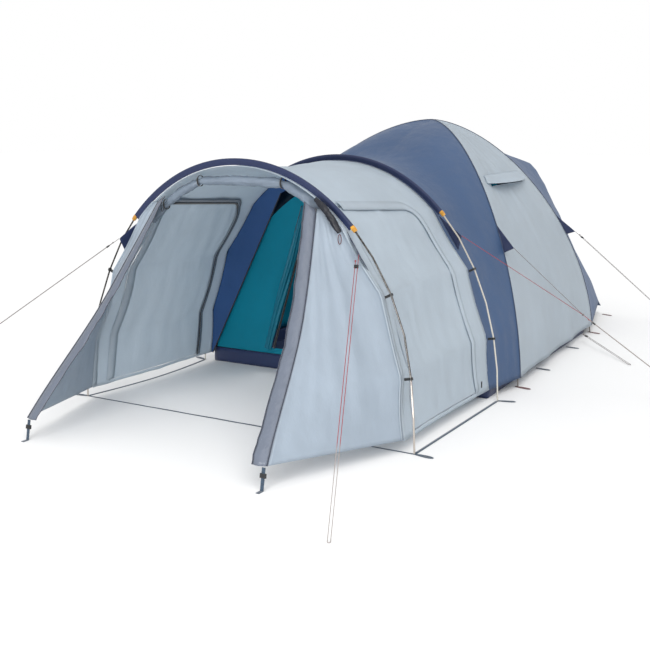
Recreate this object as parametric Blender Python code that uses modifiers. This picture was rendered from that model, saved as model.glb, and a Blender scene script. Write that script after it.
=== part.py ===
"""A family tent on poles: a tunnel porch on two hoops in front of a dome on two crossing poles.

Metres, +Z up, the tent's length along Y with its porch at -Y. The origin is on the ground, in the
middle of the footprint. Lengths below are first laid out from the front hoop's feet (y = 0 there), as
if that hoop stood upright. set_out() moves them to the part's own frame, and put() also bows the
front of the porch back a little, as its hoop does.
"""

import math

import bmesh
import bpy
from mathutils import Matrix, Vector

# Driving dimensions
MIDDLE_OF_FOOTPRINT = 1.875  # from the front hoop's plane to the middle of the footprint
FRONT_HALF, FRONT_HEIGHT = 1.172, 1.519  # front hoop
MIDDLE_HALF, MIDDLE_HEIGHT, MIDDLE_Y = 1.160, 1.517, 1.217  # middle hoop
HOOP_POWER = 2.05  # 2 would be an ellipse
DOME_FRONT_X, DOME_FRONT_Y = 1.147, 1.615  # front feet of the crossing poles
DOME_REAR_X, DOME_REAR_Y = 1.025, 3.668  # rear feet
CROSS_Y, DOME_HEIGHT = 2.64, 1.746  # where the poles cross
DOME_FRONT_POWER, DOME_REAR_POWER = 1.74, 1.67
FRONT_BOW, BOW_FROM, BOW_FULL = 0.065, 0.15, 0.75  # the front hoop's bow, and the heights it grows between
REAR_Y, BROW_Y = 4.63, 4.35  # foot and top of the rear bell's end
BELL = (  # the rear bell's right edge, as half width and height, from its foot to its flat top
    (0.877, 0.0), (0.775, 0.31), (0.625, 0.59), (0.490, 0.92), (0.435, 1.01), (0.350, 1.18),
    (0.262, 1.32), (0.205, 1.38), (0.100, 1.422), (0.0, 1.43),
)  # fmt: skip
BELL_HEIGHT = BELL[-1][1]
POLE_R = 0.00525
BROW_R = 0.003
FABRIC = 0.003  # thickness of a fabric solid
SEAM_GAP = 0.005  # from a panel's edge to its seam
HEM = 0.065  # height of the flysheet's hem
FABRIC_IN, FABRIC_UNDER = 0.046, 0.031  # from a hoop pole to the porch fabric, at its sides and top
FLY_OUT = 0.018  # from the dome poles out to the flysheet
WEB = 0.0025  # thickness of webbing on the ground
FOOT_Z = WEB + 0.0005  # a pole's foot stands on webbing
CORD_R = 0.00175
STRAND_GAP = 0.014  # between the two strands of a guy line
SLEEVE_END_Z = 1.175  # where the pole sleeves stop
DOOR_FRONT, DOOR_REAR, DOOR_FOOT = 0.13, 1.03, 0.09  # side doors
DOOR_TOP_FRONT, DOOR_TOP_REAR, DOOR_CORNER = 1.265, 1.222, 0.16
DOOR_CLEARANCE = 0.004
INNER_FRONT_Y, TUB = 1.245, 0.105  # inner tent's front wall, height of its tub floor
HOOPS = (("front", FRONT_HALF, FRONT_HEIGHT, 0.0), ("middle", MIDDLE_HALF, MIDDLE_HEIGHT, MIDDLE_Y))
CLIP_LOW, CLIP_HIGH = 0.40, 0.83  # heights of the clips on a hoop
SIDES = (("left", -1), ("right", 1))
INSIDE = (0.0, 1.9, 0.2)  # a point within the tent, away from which its cloth faces
UNDER_GROUND = (0.0, 1.9, -50.0)


def set_out(x, y, z):
    """A point given from the front hoop's feet, in the part's frame."""
    return Vector((x, y - MIDDLE_OF_FOOTPRINT, z))


def put(x, y, z):
    """The same with the bow of the front hoop, which fades out at the middle hoop."""
    rise = min(1.0, max(0.0, (z - BOW_FROM) / (BOW_FULL - BOW_FROM)))
    near = min(1.0, max(0.0, 1 - y / MIDDLE_Y))
    return set_out(x, y + FRONT_BOW * near * rise * rise * (3 - 2 * rise), z)


def mix(a, b, share):
    return a + (b - a) * share


# Curves of the poles


def superellipse(half, height, turn, power):
    """x and z on an arch: turn 0 is the right foot, pi/2 the top and pi the left foot."""
    c = math.cos(turn)
    return half * math.copysign(abs(c) ** (2 / power), c), height * abs(math.sin(turn)) ** (2 / power)


def turn_at(z, height, power):
    """The turn at which an arch's right side reaches height z."""
    return math.asin(min(1.0, z / height) ** (power / 2))


def half_at(z, half, height, power):
    return superellipse(half, height, turn_at(z, height, power), power)[0]


def spread(first, last, count):
    return [mix(first, last, i / (count - 1)) for i in range(count)]


def dome_plan(s):
    """y of a crossing pole over the ground, s metres from the crossing towards its front foot."""
    front = (DOME_FRONT_Y - CROSS_Y) / DOME_FRONT_X
    rear = (DOME_REAR_Y - CROSS_Y) / DOME_REAR_X
    bow = (front + rear) / (DOME_FRONT_X + DOME_REAR_X)
    return CROSS_Y - (rear - bow * DOME_REAR_X) * s + bow * s * s


def dome_at(side, turn, grow=0.0):
    """On the pole whose front foot is on this side: turn 0 is that foot, pi the far rear foot."""
    front = turn <= math.pi / 2
    foot, power = (DOME_FRONT_X, DOME_FRONT_POWER) if front else (DOME_REAR_X, DOME_REAR_POWER)
    s, z = superellipse(foot, DOME_HEIGHT + grow, turn, power)
    return Vector((side * s * (foot + grow) / foot, dome_plan(s), z))


def front_seam(turn):
    """The flysheet's front arcs: up the right pole's front half and down the left one's."""
    if turn <= math.pi / 2:
        return dome_at(1, turn, FLY_OUT)
    return dome_at(-1, math.pi - turn, FLY_OUT)


def rear_seam(turn):
    """The rear arcs: up the rear half on the right and down that on the left."""
    if turn <= math.pi / 2:
        return dome_at(-1, math.pi - turn, FLY_OUT)
    return dome_at(1, turn, FLY_OUT)


def porch_size(share):
    """The porch fabric's half width and height, share of the way from the front hoop to the middle one."""
    half = mix(FRONT_HALF, MIDDLE_HALF, share) - FABRIC_IN
    return half, mix(FRONT_HEIGHT, MIDDLE_HEIGHT, share) - FABRIC_UNDER


def porch_power(share):
    """The fabric between the hoops is flatter than the hoops themselves."""
    return HOOP_POWER - 0.25 * math.sin(math.pi * share)


def porch_at(share, turn_share, side_range=None):
    """On the porch fabric, turn_share of the way from hem to hem or within side_range of it."""
    power = porch_power(share)
    half, height = porch_size(share)
    low = turn_at(HEM, height, power)
    high = math.pi - low
    first, last = side_range or (0.0, 1.0)
    turn = mix(low, high, mix(first, last, turn_share))
    x, z = superellipse(half, height, turn, power)
    return Vector((x, mix(0.0, MIDDLE_Y, share), z))


# Materials


def material(name, colour, roughness, metallic=0.0):
    made = bpy.data.materials.new(name)
    made.use_nodes = True
    shader = made.node_tree.nodes["Principled BSDF"]
    shader.inputs["Base Color"].default_value = (*colour, 1.0)
    shader.inputs["Roughness"].default_value = roughness
    shader.inputs["Metallic"].default_value = metallic
    return made


# Solids


def clear_scene():
    for obj in list(bpy.data.objects):
        bpy.data.objects.remove(obj)


def own(obj, mat, collection="tent"):
    """Puts an object in the tent's or the cutters' collection, with its material."""
    for old in list(obj.users_collection):
        old.objects.unlink(obj)
    home = bpy.data.collections.get(collection)
    if home is None:
        home = bpy.data.collections.new(collection)
        bpy.context.scene.collection.children.link(home)
    home.objects.link(obj)
    if mat is not None:
        obj.data.materials.append(mat)
    if collection == "cutters":
        obj.hide_render = True
        obj.display_type = "WIRE"
    return obj


def mesh_object(name, mesh_data, mat, collection="tent"):
    mesh = bpy.data.meshes.new(name)
    mesh_data.to_mesh(mesh)
    mesh_data.free()
    mesh.shade_smooth()
    mesh.set_sharp_from_angle(angle=math.radians(40))
    return own(bpy.data.objects.new(name, mesh), mat, collection)


def grid_surface(rows):
    """An open surface through rows of points, as a bmesh."""
    made = bmesh.new()
    verts = [[made.verts.new(p) for p in row] for row in rows]
    for low, high in zip(verts, verts[1:]):
        for i in range(len(low) - 1):
            made.faces.new((low[i], low[i + 1], high[i + 1], high[i]))
    return made


def thicken(obj, thickness, offset=-1.0):
    solid = obj.modifiers.new("thickness", "SOLIDIFY")
    solid.thickness = thickness
    solid.offset = offset
    return obj


def shell(name, rows, mat, thickness=FABRIC, offset=-1.0, inside=INSIDE, collection="tent"):
    """A panel through rows of points given from the front hoop's plane, facing away from inside."""
    made = grid_surface([[put(*p) for p in row] for row in rows])
    made.normal_update()
    outward = sum(f.calc_area() * f.normal.dot(f.calc_center_median() - put(*inside)) for f in made.faces)
    if outward < 0:
        bmesh.ops.reverse_faces(made, faces=made.faces)
    return thicken(mesh_object(name, made, mat, collection), thickness, offset)


def boolean(obj, other, operation):
    step = obj.modifiers.new(operation.lower(), "BOOLEAN")
    step.operation = operation
    step.object = other


def tube(name, points, radius, mat, radii=None, place=put):
    """A round bar along points given from the front hoop's feet."""
    curve = bpy.data.curves.new(name, "CURVE")
    curve.dimensions = "3D"
    curve.bevel_depth = radius
    curve.bevel_resolution = 2
    curve.use_fill_caps = True
    spline = curve.splines.new("POLY")
    spline.points.add(len(points) - 1)
    for i, (point, where) in enumerate(zip(spline.points, points)):
        point.co = (*place(*where), 1.0)
        point.radius = radii[i] if radii else 1.0
    return own(bpy.data.objects.new(name, curve), mat)


def plate(name, outlines, thickness, mat, matrix):
    """A flat piece: outlines[0] is its edge and the rest are holes, in the plane of matrix."""
    curve = bpy.data.curves.new(name, "CURVE")
    curve.dimensions = "2D"
    curve.fill_mode = "BOTH"
    curve.extrude = thickness / 2
    for outline in outlines:
        spline = curve.splines.new("POLY")
        spline.points.add(len(outline) - 1)
        for point, (u, v) in zip(spline.points, outline):
            point.co = (u, v, 0.0, 1.0)
        spline.use_cyclic_u = True
    made = own(bpy.data.objects.new(name, curve), mat)
    made.matrix_world = matrix
    return made


def upright(y):
    """The plane across the tent at y, with u along X and v up."""
    return Matrix.Translation(put(0, y, 0)) @ Matrix.Rotation(math.pi / 2, 4, "X")


def prism(name, outline, low, high, mat=None, collection="cutters"):
    """A bar along X whose section is an outline of (y, z) points."""
    made = bmesh.new()
    verts = [made.verts.new(put(low, y, z)) for y, z in outline]
    face = made.faces.new(verts)
    pushed = bmesh.ops.extrude_face_region(made, geom=[face])
    moved = [v for v in pushed["geom"] if isinstance(v, bmesh.types.BMVert)]
    bmesh.ops.translate(made, verts=moved, vec=(high - low, 0, 0))
    bmesh.ops.recalc_face_normals(made, faces=made.faces)
    return mesh_object(name, made, mat, collection)


def ribbon(name, path, across, width, thickness, mat, collection="tent"):
    """Webbing along a path, its underside on the path and its width along across."""
    half = Vector(across).normalized() * width / 2
    rows = [[Vector(p) - half, Vector(p) + half] for p in path]
    return shell(name, rows, mat, thickness, 1.0, UNDER_GROUND, collection)


def arc(centre, radius, first, last, count):
    angles = spread(first, last, count)
    return [(centre[0] + radius * math.cos(a), centre[1] + radius * math.sin(a)) for a in angles]


def facing(origin, along, up, place=put):
    """A frame at origin whose Z runs along a direction and whose X leans towards up."""
    z = Vector(along).normalized()
    x = (Vector(up) - z * Vector(up).dot(z)).normalized()
    turned = Matrix((x, z.cross(x), z)).transposed().to_4x4()
    return Matrix.Translation(place(*origin)) @ turned


# Poles and what holds them


def sleeve_turns(height):
    low = turn_at(SLEEVE_END_Z, height, HOOP_POWER)
    return spread(low, math.pi - low, 19)


def hoop_line(half, height, y):
    """A hoop pole's points: the clips and the sleeve sit on the same ones."""
    low = [turn_at(z, height, HOOP_POWER) for z in (FOOT_Z, 0.20, CLIP_LOW, 0.62, CLIP_HIGH, 1.02)]
    turns = low + sleeve_turns(height) + [math.pi - t for t in reversed(low)]
    return [Vector((x, y, z)) for x, z in (superellipse(half, height, t, HOOP_POWER) for t in turns)]


def hoop_poles(alloy):
    for name, half, height, y in HOOPS:
        tube(f"{name}_hoop_pole", hoop_line(half, height, y), POLE_R, alloy)


def dome_poles(alloy):
    """The two crossing poles, the second laid over the first at the top."""
    for name, side, lift in (("dome_pole_under", 1, -0.006), ("dome_pole_over", -1, 0.006)):
        low = turn_at(FOOT_Z, DOME_HEIGHT, DOME_FRONT_POWER)
        far = math.pi - turn_at(FOOT_Z, DOME_HEIGHT, DOME_REAR_POWER)
        turns = spread(low, math.pi / 2, 16) + spread(math.pi / 2, far, 16)[1:]
        line = [dome_at(side, t) + Vector((0, 0, lift * math.sin(t) ** 8)) for t in turns]
        tube(name, line, POLE_R, alloy)


def bell_half(z):
    """Half the rear bell's width at height z."""
    for (x_low, z_low), (x_high, z_high) in zip(BELL, BELL[1:]):
        if z <= z_high:
            return mix(x_low, x_high, (z - z_low) / (z_high - z_low))
    return 0.0


def bell_at(z, side):
    """On the edge of the rear bell's end at height z."""
    return Vector((side * bell_half(z), mix(REAR_Y, BROW_Y, (z / BELL_HEIGHT) ** 0.6), z))


def bell_line(low, count):
    """Points from height low on the right, over the bell's top and down to the same on the left."""
    high = BELL_HEIGHT - 0.0005
    heights = [mix(low, high, 1 - (1 - s) ** 1.6) for s in spread(0, 1, count // 2 + 1)]
    right, left = ([bell_at(z, side) for z in heights[:-1]] for side in (1, -1))
    return right + [bell_at(high, 0)] + left[::-1]


def brow_pole(alloy):
    """A short bow sewn in under the top of the rear bell."""
    line = [Vector((p.x * 0.95, p.y - 0.02, p.z - 0.024)) for p in bell_line(0.92, 17)]
    tube("rear_brow_pole", line, BROW_R, alloy)


SLEEVE_OUTER = (  # radial, along the tent: a flat sleeve with the pole in its outer edge
    (0.0115, 0.0), (0.0080, 0.0085), (-0.0050, 0.0105), (-0.0180, 0.0060),
    (-0.0260, 0.0), (-0.0180, -0.0060), (-0.0050, -0.0105), (0.0080, -0.0085),
)  # fmt: skip
SLEEVE_BORE = 0.0064


def sleeve(name, half, height, y, mat):
    """A fabric sleeve round the upper part of a hoop pole, open at both ends."""
    made = bmesh.new()
    rings = []
    for turn in sleeve_turns(height):
        x, z = superellipse(half, height, turn, HOOP_POWER)
        ahead = superellipse(half, height, turn + 0.01, HOOP_POWER)
        behind = superellipse(half, height, turn - 0.01, HOOP_POWER)
        along = Vector((ahead[0] - behind[0], 0, ahead[1] - behind[1])).normalized()
        out = Vector((along.z, 0, -along.x))
        centre = Vector((x, y, z))
        outer = [centre + out * r + Vector((0, d, 0)) for r, d in SLEEVE_OUTER]
        inner = [
            centre + out * SLEEVE_BORE * math.cos(a) + Vector((0, SLEEVE_BORE * math.sin(a), 0))
            for a in (math.tau * i / 8 for i in range(8))
        ]
        rings.append([[made.verts.new(put(*p)) for p in ring] for ring in (outer, inner)])
    for first, second in zip(rings, rings[1:]):
        for i in range(8):
            j = (i + 1) % 8
            made.faces.new((first[0][i], first[0][j], second[0][j], second[0][i]))
            made.faces.new((second[1][i], second[1][j], first[1][j], first[1][i]))
    for end in (rings[0], rings[-1]):
        for i in range(8):
            j = (i + 1) % 8
            made.faces.new((end[0][i], end[0][j], end[1][j], end[1][i]))
    bmesh.ops.recalc_face_normals(made, faces=made.faces)
    return mesh_object(name, made, mat)


CLIP_OUTER, CLIP_BORE, CLIP_TONGUE, CLIP_LONG = 0.0115, 0.0068, 0.038, 0.014


def clip_outline():
    """A ring round the pole with a tongue towards the fabric, along -u."""
    ring = arc((0, 0), CLIP_OUTER, math.radians(-152), math.radians(152), 11)
    tongue = [(-CLIP_TONGUE, 0.0054), (-CLIP_TONGUE, -0.0054)]
    return [ring + tongue, arc((0, 0), CLIP_BORE, 0, math.tau, 9)[:-1]]


def clips(plastic):
    """The clips that hang the porch's walls from the bare lower part of each hoop."""
    for hoop, half, height, y in HOOPS:
        for level, z in (("upper", CLIP_HIGH), ("lower", CLIP_LOW)):
            turn = turn_at(z, height, HOOP_POWER)
            x = superellipse(half, height, turn, HOOP_POWER)[0]
            ahead = Vector((half_at(z + 0.01, half, height, HOOP_POWER), 0, z + 0.01))
            along = ahead - Vector((x, 0, z))
            for side_name, side in SIDES:
                run = Vector((side * along.x, 0, along.z))
                frame = facing((side * x, y, z), run, (side, 0, 0))
                plate(f"{hoop}_clip_{level}_{side_name}", clip_outline(), CLIP_LONG, plastic, frame)


# Flysheet


def door_outline(grow):
    """The side door seen from the side, as (y, z), its upper rear corner rounded."""
    front, rear, low = DOOR_FRONT - grow, DOOR_REAR + grow, DOOR_FOOT - grow
    radius = DOOR_CORNER + grow
    corner = arc((rear - radius, DOOR_TOP_REAR + grow - radius), radius, 0, math.pi / 2, 7)
    top = DOOR_TOP_FRONT + grow
    return [(front, low), (rear, low)] + corner + [(front + 0.03, top), (front, top - 0.03)]


def porch(fly):
    """The porch's roof and walls in one piece, with a doorway in each wall."""
    shares = spread(-0.010, 0.996, 8)
    rows = [[porch_at(s, t) for t in spread(0, 1, 27)] for s in shares]
    made = shell("porch_flysheet", rows, fly)
    for side_name, side in SIDES:
        reach = sorted((side * 0.45, side * 1.4))
        cutter = prism(f"cut_doorway_{side_name}", door_outline(DOOR_CLEARANCE), *reach)
        boolean(made, cutter, "DIFFERENCE")


def hinge_line(points):
    """Two points on the line that touches a curved edge from outside, parallel to the edge's chord.

    A hinge there lets the cloth swing out without its bulging edge cutting into what it is sewn to.
    """
    first, last = points[0], points[-1]
    run = (last - first).normalized()
    out = Vector((run.z, 0, -run.x))
    if out.x * first.x < 0:
        out = -out
    reach = max((p - first).dot(out) for p in points)
    return first + out * reach, last + out * reach


def door_hinge(side):
    """A side door's hinge, along its front edge, from its foot up."""
    share = DOOR_FRONT / MIDDLE_Y
    half, height = porch_size(share)
    heights = spread(DOOR_FOOT, DOOR_TOP_FRONT, 21)
    edge = [half_at(z, half, height, porch_power(share)) for z in heights]
    return hinge_line([put(side * x, DOOR_FRONT - 0.002, z) for x, z in zip(edge, heights)])


def hang(piece, place, *riders):
    """Parents a moving piece, and what rides on it, to an empty at a place on its joint's axis."""
    pivot = bpy.data.objects.new(f"{piece.name}_joint", None)
    bpy.context.scene.collection.objects.link(pivot)
    pivot.location = place
    for each in (piece, *riders):
        each.parent = pivot
        each.matrix_parent_inverse = Matrix.Translation(-place)


def side_doors(fly):
    """The zipped door in each wall: the same curved cloth, cut a little smaller than its doorway."""
    for side_name, side in SIDES:
        part = (0.0, 0.42) if side > 0 else (0.58, 1.0)
        rows = [[porch_at(s, t, part) for t in spread(0, 1, 12)] for s in spread(0.07, 0.88, 6)]
        made = shell(f"side_door_{side_name}", rows, fly)
        reach = sorted((side * 0.40, side * 1.45))
        cutter = prism(f"keep_door_{side_name}", door_outline(0.0), *reach)
        boolean(made, cutter, "INTERSECT")
        hang(made, door_hinge(side)[0])


SLIDER_Z = 0.15


def slider_at(z):
    """On the zip behind a side door, at height z on the right."""
    y = DOOR_REAR + 0.030
    share = y / MIDDLE_Y
    half, height = porch_size(share)
    return half_at(z, half, height, porch_power(share)), y, z


def zip_sliders(metal):
    """The slider that has run to the foot of each side door's zip."""
    outline = [(-0.006, -0.004), (0.006, -0.004), (0.006, 0.004)]
    outline += [(-0.006, 0.004), (-0.034, 0.003), (-0.034, -0.003)]
    for side_name, side in SIDES:
        x, y, z = slider_at(SLIDER_Z)
        frame = facing((side * (x + 0.0045), y, z), (side, 0, 0), (0, 0, 1))
        plate(f"door_zip_slider_{side_name}", [outline], 0.005, metal, frame)


def dome_front(fly):
    """The dome's front, from the middle hoop to the front arcs, dipping in between."""
    half, height = porch_size(1.0)
    rows = []
    for share in (0.0, 0.2, 0.4, 0.6, 0.8, 1.0):
        row = []
        for step in spread(0, 1, 25):
            low = turn_at(HEM, height, HOOP_POWER)
            turn = mix(low, math.pi - low, step)
            x, z = superellipse(half, height, turn, HOOP_POWER)
            start = Vector((x, MIDDLE_Y + 0.005, z))
            low = turn_at(HEM, DOME_HEIGHT + FLY_OUT, DOME_FRONT_POWER)
            end = front_seam(mix(low, math.pi - low, step))
            run = end - start
            end = start + run * (1 - SEAM_GAP / run.length)
            dip = 0.10 * math.sin(math.pi * share) * math.sin(turn) ** 2
            row.append(mix(start, end, share) - Vector((0, 0, dip)))
        rows.append(row)
    shell("dome_front_panel", rows, fly)


def side_at(side, share, turn):
    """On a dome side panel: share 0 the front arc, 1 the rear arc, turn 0 the ground, pi/2 the crossing."""
    front = dome_at(side, turn, FLY_OUT)
    rear = dome_at(-side, math.pi - turn, FLY_OUT)
    return mix(front, rear, share)


def side_turn(z, share):
    """The turn at which a side panel reaches height z, by halving."""
    low, high = 0.0, math.pi / 2
    for _ in range(30):
        middle = (low + high) / 2
        low, high = (middle, high) if side_at(1, share, middle).z < z else (low, middle)
    return (low + high) / 2


def peg_loop(name, hem, end, mat):
    """Webbing sewn through the cloth just above its hem, then down to the ground and out to a peg."""
    hem, end = Vector(hem), Vector(end)
    out = Vector((end.x - hem.x, end.y - hem.y, 0)).normalized()
    through = hem + Vector((0, 0, 0.014))
    touch = mix(Vector((hem.x, hem.y, 0)), end, 0.45)
    path = [through - out * 0.012 + Vector((0, 0, 0.004)), through + out * 0.006, touch, end]
    return ribbon(name, path, (out.y, -out.x, 0), 0.022, WEB, mat, "cutters")


def dome_sides(fly, webbing):
    """The dome's two light side panels, each with two peg loops sewn to its hem and a vent slot."""
    top = turn_at(DOME_HEIGHT - 0.003, DOME_HEIGHT, DOME_FRONT_POWER)
    for side_name, side in SIDES:
        rows = []
        for step in spread(0, 1, 15):
            turn_front = mix(side_turn(HEM, 0.0), top, step)
            turn_rear = mix(side_turn(HEM, 1.0), top, step)
            front = dome_at(side, turn_front, FLY_OUT)
            rear = dome_at(-side, math.pi - turn_rear, FLY_OUT)
            gap = SEAM_GAP / (rear - front).length
            row = [mix(front, rear, share) for share in spread(gap, 1 - gap, 5)]
            rows.append(row if side < 0 else row[::-1])
        made = shell(f"dome_side_panel_{side_name}", rows, fly)
        for place, y in (("front", 2.17), ("rear", 2.98)):
            share = (y - DOME_FRONT_Y) / (DOME_REAR_Y - DOME_FRONT_Y)
            hem = side_at(side, share, side_turn(HEM, share))
            end = (hem.x + side * 0.055, hem.y, 0.0)
            boolean(made, peg_loop(f"join_{place}_loop_{side_name}", hem, end, webbing), "UNION")
        boolean(made, vent_cutter(side_name, side), "DIFFERENCE")


VENT_SHARES = (0.10, 0.92)
VENT_TOP, VENT_BRIM, VENT_LIFT = 1.36, 1.27, 0.055


def vent_cutter(side_name, side):
    """The slot that a vent hood covers."""
    first = side_at(side, VENT_SHARES[0] + 0.08, side_turn(1.30, 0.5))
    last = side_at(side, VENT_SHARES[1] - 0.08, side_turn(1.30, 0.5))
    outline = [(first.y, 1.285), (last.y, 1.285), (last.y, 1.325), (first.y, 1.325)]
    return prism(f"cut_vent_{side_name}", outline, *sorted((side * 0.3, side * 1.2)))


def vent_out(side):
    """Straight out from the side panel at the vent."""
    middle = [side_at(side, 0.5, side_turn(z, 0.5)) for z in (VENT_BRIM, VENT_TOP)]
    run = (side_at(side, 0.9, side_turn(1.3, 0.9)) - side_at(side, 0.1, side_turn(1.3, 0.1))).normalized()
    normal = run.cross(middle[1] - middle[0]).normalized()
    return normal if normal.x * side > 0 else -normal


def vent_hinge(side):
    """The ends of a vent hood's hinge, along its top."""
    lift = vent_out(side) * 0.013
    return [side_at(side, s, side_turn(VENT_TOP, s)) + lift for s in VENT_SHARES]


def vent_hoods(fly):
    """A flap over each vent slot, hinged along its top and propped open at its brim."""
    for side_name, side in SIDES:
        out = vent_out(side)
        rows = []
        for z, lift in ((VENT_TOP, 0.012), (VENT_BRIM, VENT_LIFT)):
            ends = [side_at(side, s, side_turn(z, s)) + out * lift for s in VENT_SHARES]
            row = [mix(*ends, share) for share in spread(0, 1, 4)]
            rows.append(row if side > 0 else row[::-1])
        made = shell(f"vent_hood_{side_name}", rows, fly, 0.002, 1.0)
        first, last = vent_hinge(side)
        hang(made, set_out(*mix(first, last, 0.5)))


def dome_rear(fly, webbing):
    """The dome's rear: from the rear arcs back to the bell's edge, then down its end wall."""
    rows = []
    steps = spread(0, 1, 25)
    low = turn_at(HEM, DOME_HEIGHT + FLY_OUT, DOME_REAR_POWER)
    bell = bell_line(HEM + 0.05, len(steps))
    arcs = [rear_seam(mix(low, math.pi - low, s)) for s in steps]
    for share in (0.0, 0.33, 0.67, 1.0):
        row = []
        for start, end in zip(arcs, bell):
            begin = mix(start, end, SEAM_GAP / (end - start).length)
            dip = 0.03 * math.sin(math.pi * share)
            row.append(mix(begin, end, share) - Vector((0, 0, dip if start.z > 0.3 else 0)))
        rows.append(row)
    for share in (0.5, 1.0):
        rows.append([mix(p, Vector((p.x, REAR_Y + 0.02, HEM)), share) for p in bell])
    made = shell("dome_rear_panel", rows, fly)
    for side_name, side in SIDES:
        hem = mix(arcs[0], bell[0], 0.93)
        hem = Vector((side * hem.x, hem.y, hem.z))
        end = (side * (hem.x * side + 0.080), hem.y - 0.050, 0.0)
        boolean(made, peg_loop(f"join_rear_loop_{side_name}", hem, end, webbing), "UNION")


WING_TOP, WING_CORNER = Vector((0.552, -0.030, 1.268)), Vector((0.805, -0.835, 0.120))
FLAP_TOP, FLAP_FOOT = Vector((-0.072, -0.006, 0.038)), Vector((-0.070, -0.012, 0.0))  # storm flap
WING_BOW = Vector((0.012, 0.030, 0.0))  # the front edge is drawn in this far half-way down


def wing_edge(z):
    """Where a wing joins the front hoop's cloth at height z, on the right."""
    half, height = porch_size(0.0)
    return Vector((half_at(z, half - 0.004, height - 0.004, HOOP_POWER), -0.026, z))


def wing_rows(side):
    """Rows from the top of a porch wing down to its hem, from the hoop's edge out to the front edge."""
    rows = []
    for share in spread(0, 1, 9):
        edge = wing_edge(mix(WING_TOP.z, HEM + 0.005, share))
        free = mix(WING_TOP, WING_CORNER, share) + WING_BOW * math.sin(math.pi * share)
        row = [mix(edge, free, s) for s in spread(0, 1, 5)] + [free + mix(FLAP_TOP, FLAP_FOOT, share)]
        row = [Vector((side * p.x, p.y, p.z)) for p in row]
        rows.append(row if side < 0 else row[::-1])
    return rows


def wing_hinge(side):
    """A wing's hinge, along its rear edge, from its foot up."""
    edge = [wing_edge(z) for z in spread(HEM + 0.005, WING_TOP.z, 21)]
    return hinge_line([put(side * p.x, p.y, p.z) for p in edge])


def wings(fly, webbing, plastic):
    """The two forward wings of the porch, each with its strap and tension buckle."""
    for side_name, side in SIDES:
        wing = shell(f"porch_wing_{side_name}", wing_rows(side), fly)
        x = side * (WING_CORNER.x - 0.016)
        path = [(x, -0.8405, 0.112), (x, -0.862, 0.0), (x, -0.900, 0.0)]
        strap = ribbon(f"wing_strap_{side_name}", path, (1, 0, 0), 0.020, WEB, webbing)
        run = Vector(path[1]) - Vector(path[0])
        up = Vector((0, run.z, -run.y)).normalized()
        middle = Vector(path[0]) + run * 0.35 + up * WEB / 2
        frame = facing(middle, run, (1, 0, 0))
        edge = [(-0.016, -0.0055), (0.016, -0.0055), (0.016, 0.0055), (-0.016, 0.0055)]
        slot = [(-0.0115, -0.0026), (0.0115, -0.0026), (0.0115, 0.0026), (-0.0115, 0.0026)]
        plate(f"wing_buckle_{side_name}", [edge, slot], 0.022, plastic, frame)
        hang(wing, wing_hinge(side)[0], strap)


def rolled_door(fly):
    """The porch's front door, rolled up and tied under the front hoop."""
    left = [(-0.640, 1.174), (-0.550, 1.252), (-0.430, 1.330), (-0.290, 1.394), (-0.100, 1.402)]
    line = left + [(-x, z) for x, z in reversed(left)]
    radii = [0.70, 1.0, 1.0, 0.92, 0.95, 0.95, 0.92, 1.0, 1.0, 0.70]
    tube("rolled_front_door", [(x, 0.045, z) for x, z in line], 0.029, fly, radii)


def divider(fly):
    """The wall across the porch at the middle hoop, with its wide doorway open to the ground."""
    half, height = (size - 0.012 for size in porch_size(1.0))
    low = turn_at(HEM, height, HOOP_POWER - 0.04)
    turns = spread(low, math.pi - low, 25)
    outer = [superellipse(half, height, t, HOOP_POWER - 0.04) for t in turns]
    doorway = [(-1.075, HEM), (-0.46, 1.25), (-0.40, 1.285), (0.40, 1.285), (0.46, 1.25), (1.075, HEM)]
    plate("divider_wall", [outer + doorway], FABRIC, fly, upright(MIDDLE_Y))


# Inner tent

INNER_SECTIONS = (  # y, half width at the foot, height, power
    (INNER_FRONT_Y, 1.070, 1.360, 1.75),
    (1.60, 1.060, 1.380, 1.75),
    (2.10, 1.045, 1.450, 1.70),
    (2.60, 1.030, 1.690, 1.65),
    (3.00, 1.010, 1.500, 1.60),
    (3.35, 0.990, 1.180, 1.60),
    (3.58, 0.975, 0.700, 1.60),
    (3.635, 0.970, 0.160, 1.60),
)


def inner_section(y, half, height, power, count=17):
    low = turn_at(TUB + 0.004, height, power)
    turns = spread(low, math.pi - low, count)
    return [Vector((x, y, z)) for x, z in (superellipse(half, height, t, power) for t in turns)]


DOORWAY = ((-0.600, 0.150), (-0.265, 1.180), (-0.235, 1.205), (0.235, 1.205), (0.265, 1.180), (0.600, 0.150))


def inner_tent(cloth, floor_cloth):
    """The inner tent's canopy with its front wall and doorway, and the tub floor below it."""
    rows = [inner_section(*section) for section in INNER_SECTIONS]
    canopy = shell("inner_canopy", rows, cloth)
    y, half, height, power = INNER_SECTIONS[0]
    edge = [(p.x, p.z) for p in inner_section(y, half + 0.002, height + 0.002, power)]
    wall = plate("front_wall_outline", [edge, DOORWAY], FABRIC, cloth, upright(y - 0.0004))
    boolean(canopy, as_mesh(wall, "join_front_wall"), "UNION")
    tub(floor_cloth)


def as_mesh(curve_object, name):
    """A curve's solid as a mesh helper, so that a Boolean can use it."""
    graph = bpy.context.evaluated_depsgraph_get()
    mesh = bpy.data.meshes.new_from_object(curve_object.evaluated_get(graph))
    work = bmesh.new()
    work.from_mesh(mesh)
    bmesh.ops.remove_doubles(work, verts=work.verts, dist=0.00001)
    bmesh.ops.recalc_face_normals(work, faces=work.faces)
    work.to_mesh(mesh)
    work.free()
    made = bpy.data.objects.new(name, mesh)
    made.matrix_world = curve_object.matrix_world.copy()
    bpy.data.objects.remove(curve_object)
    return own(made, None, "cutters")


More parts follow.
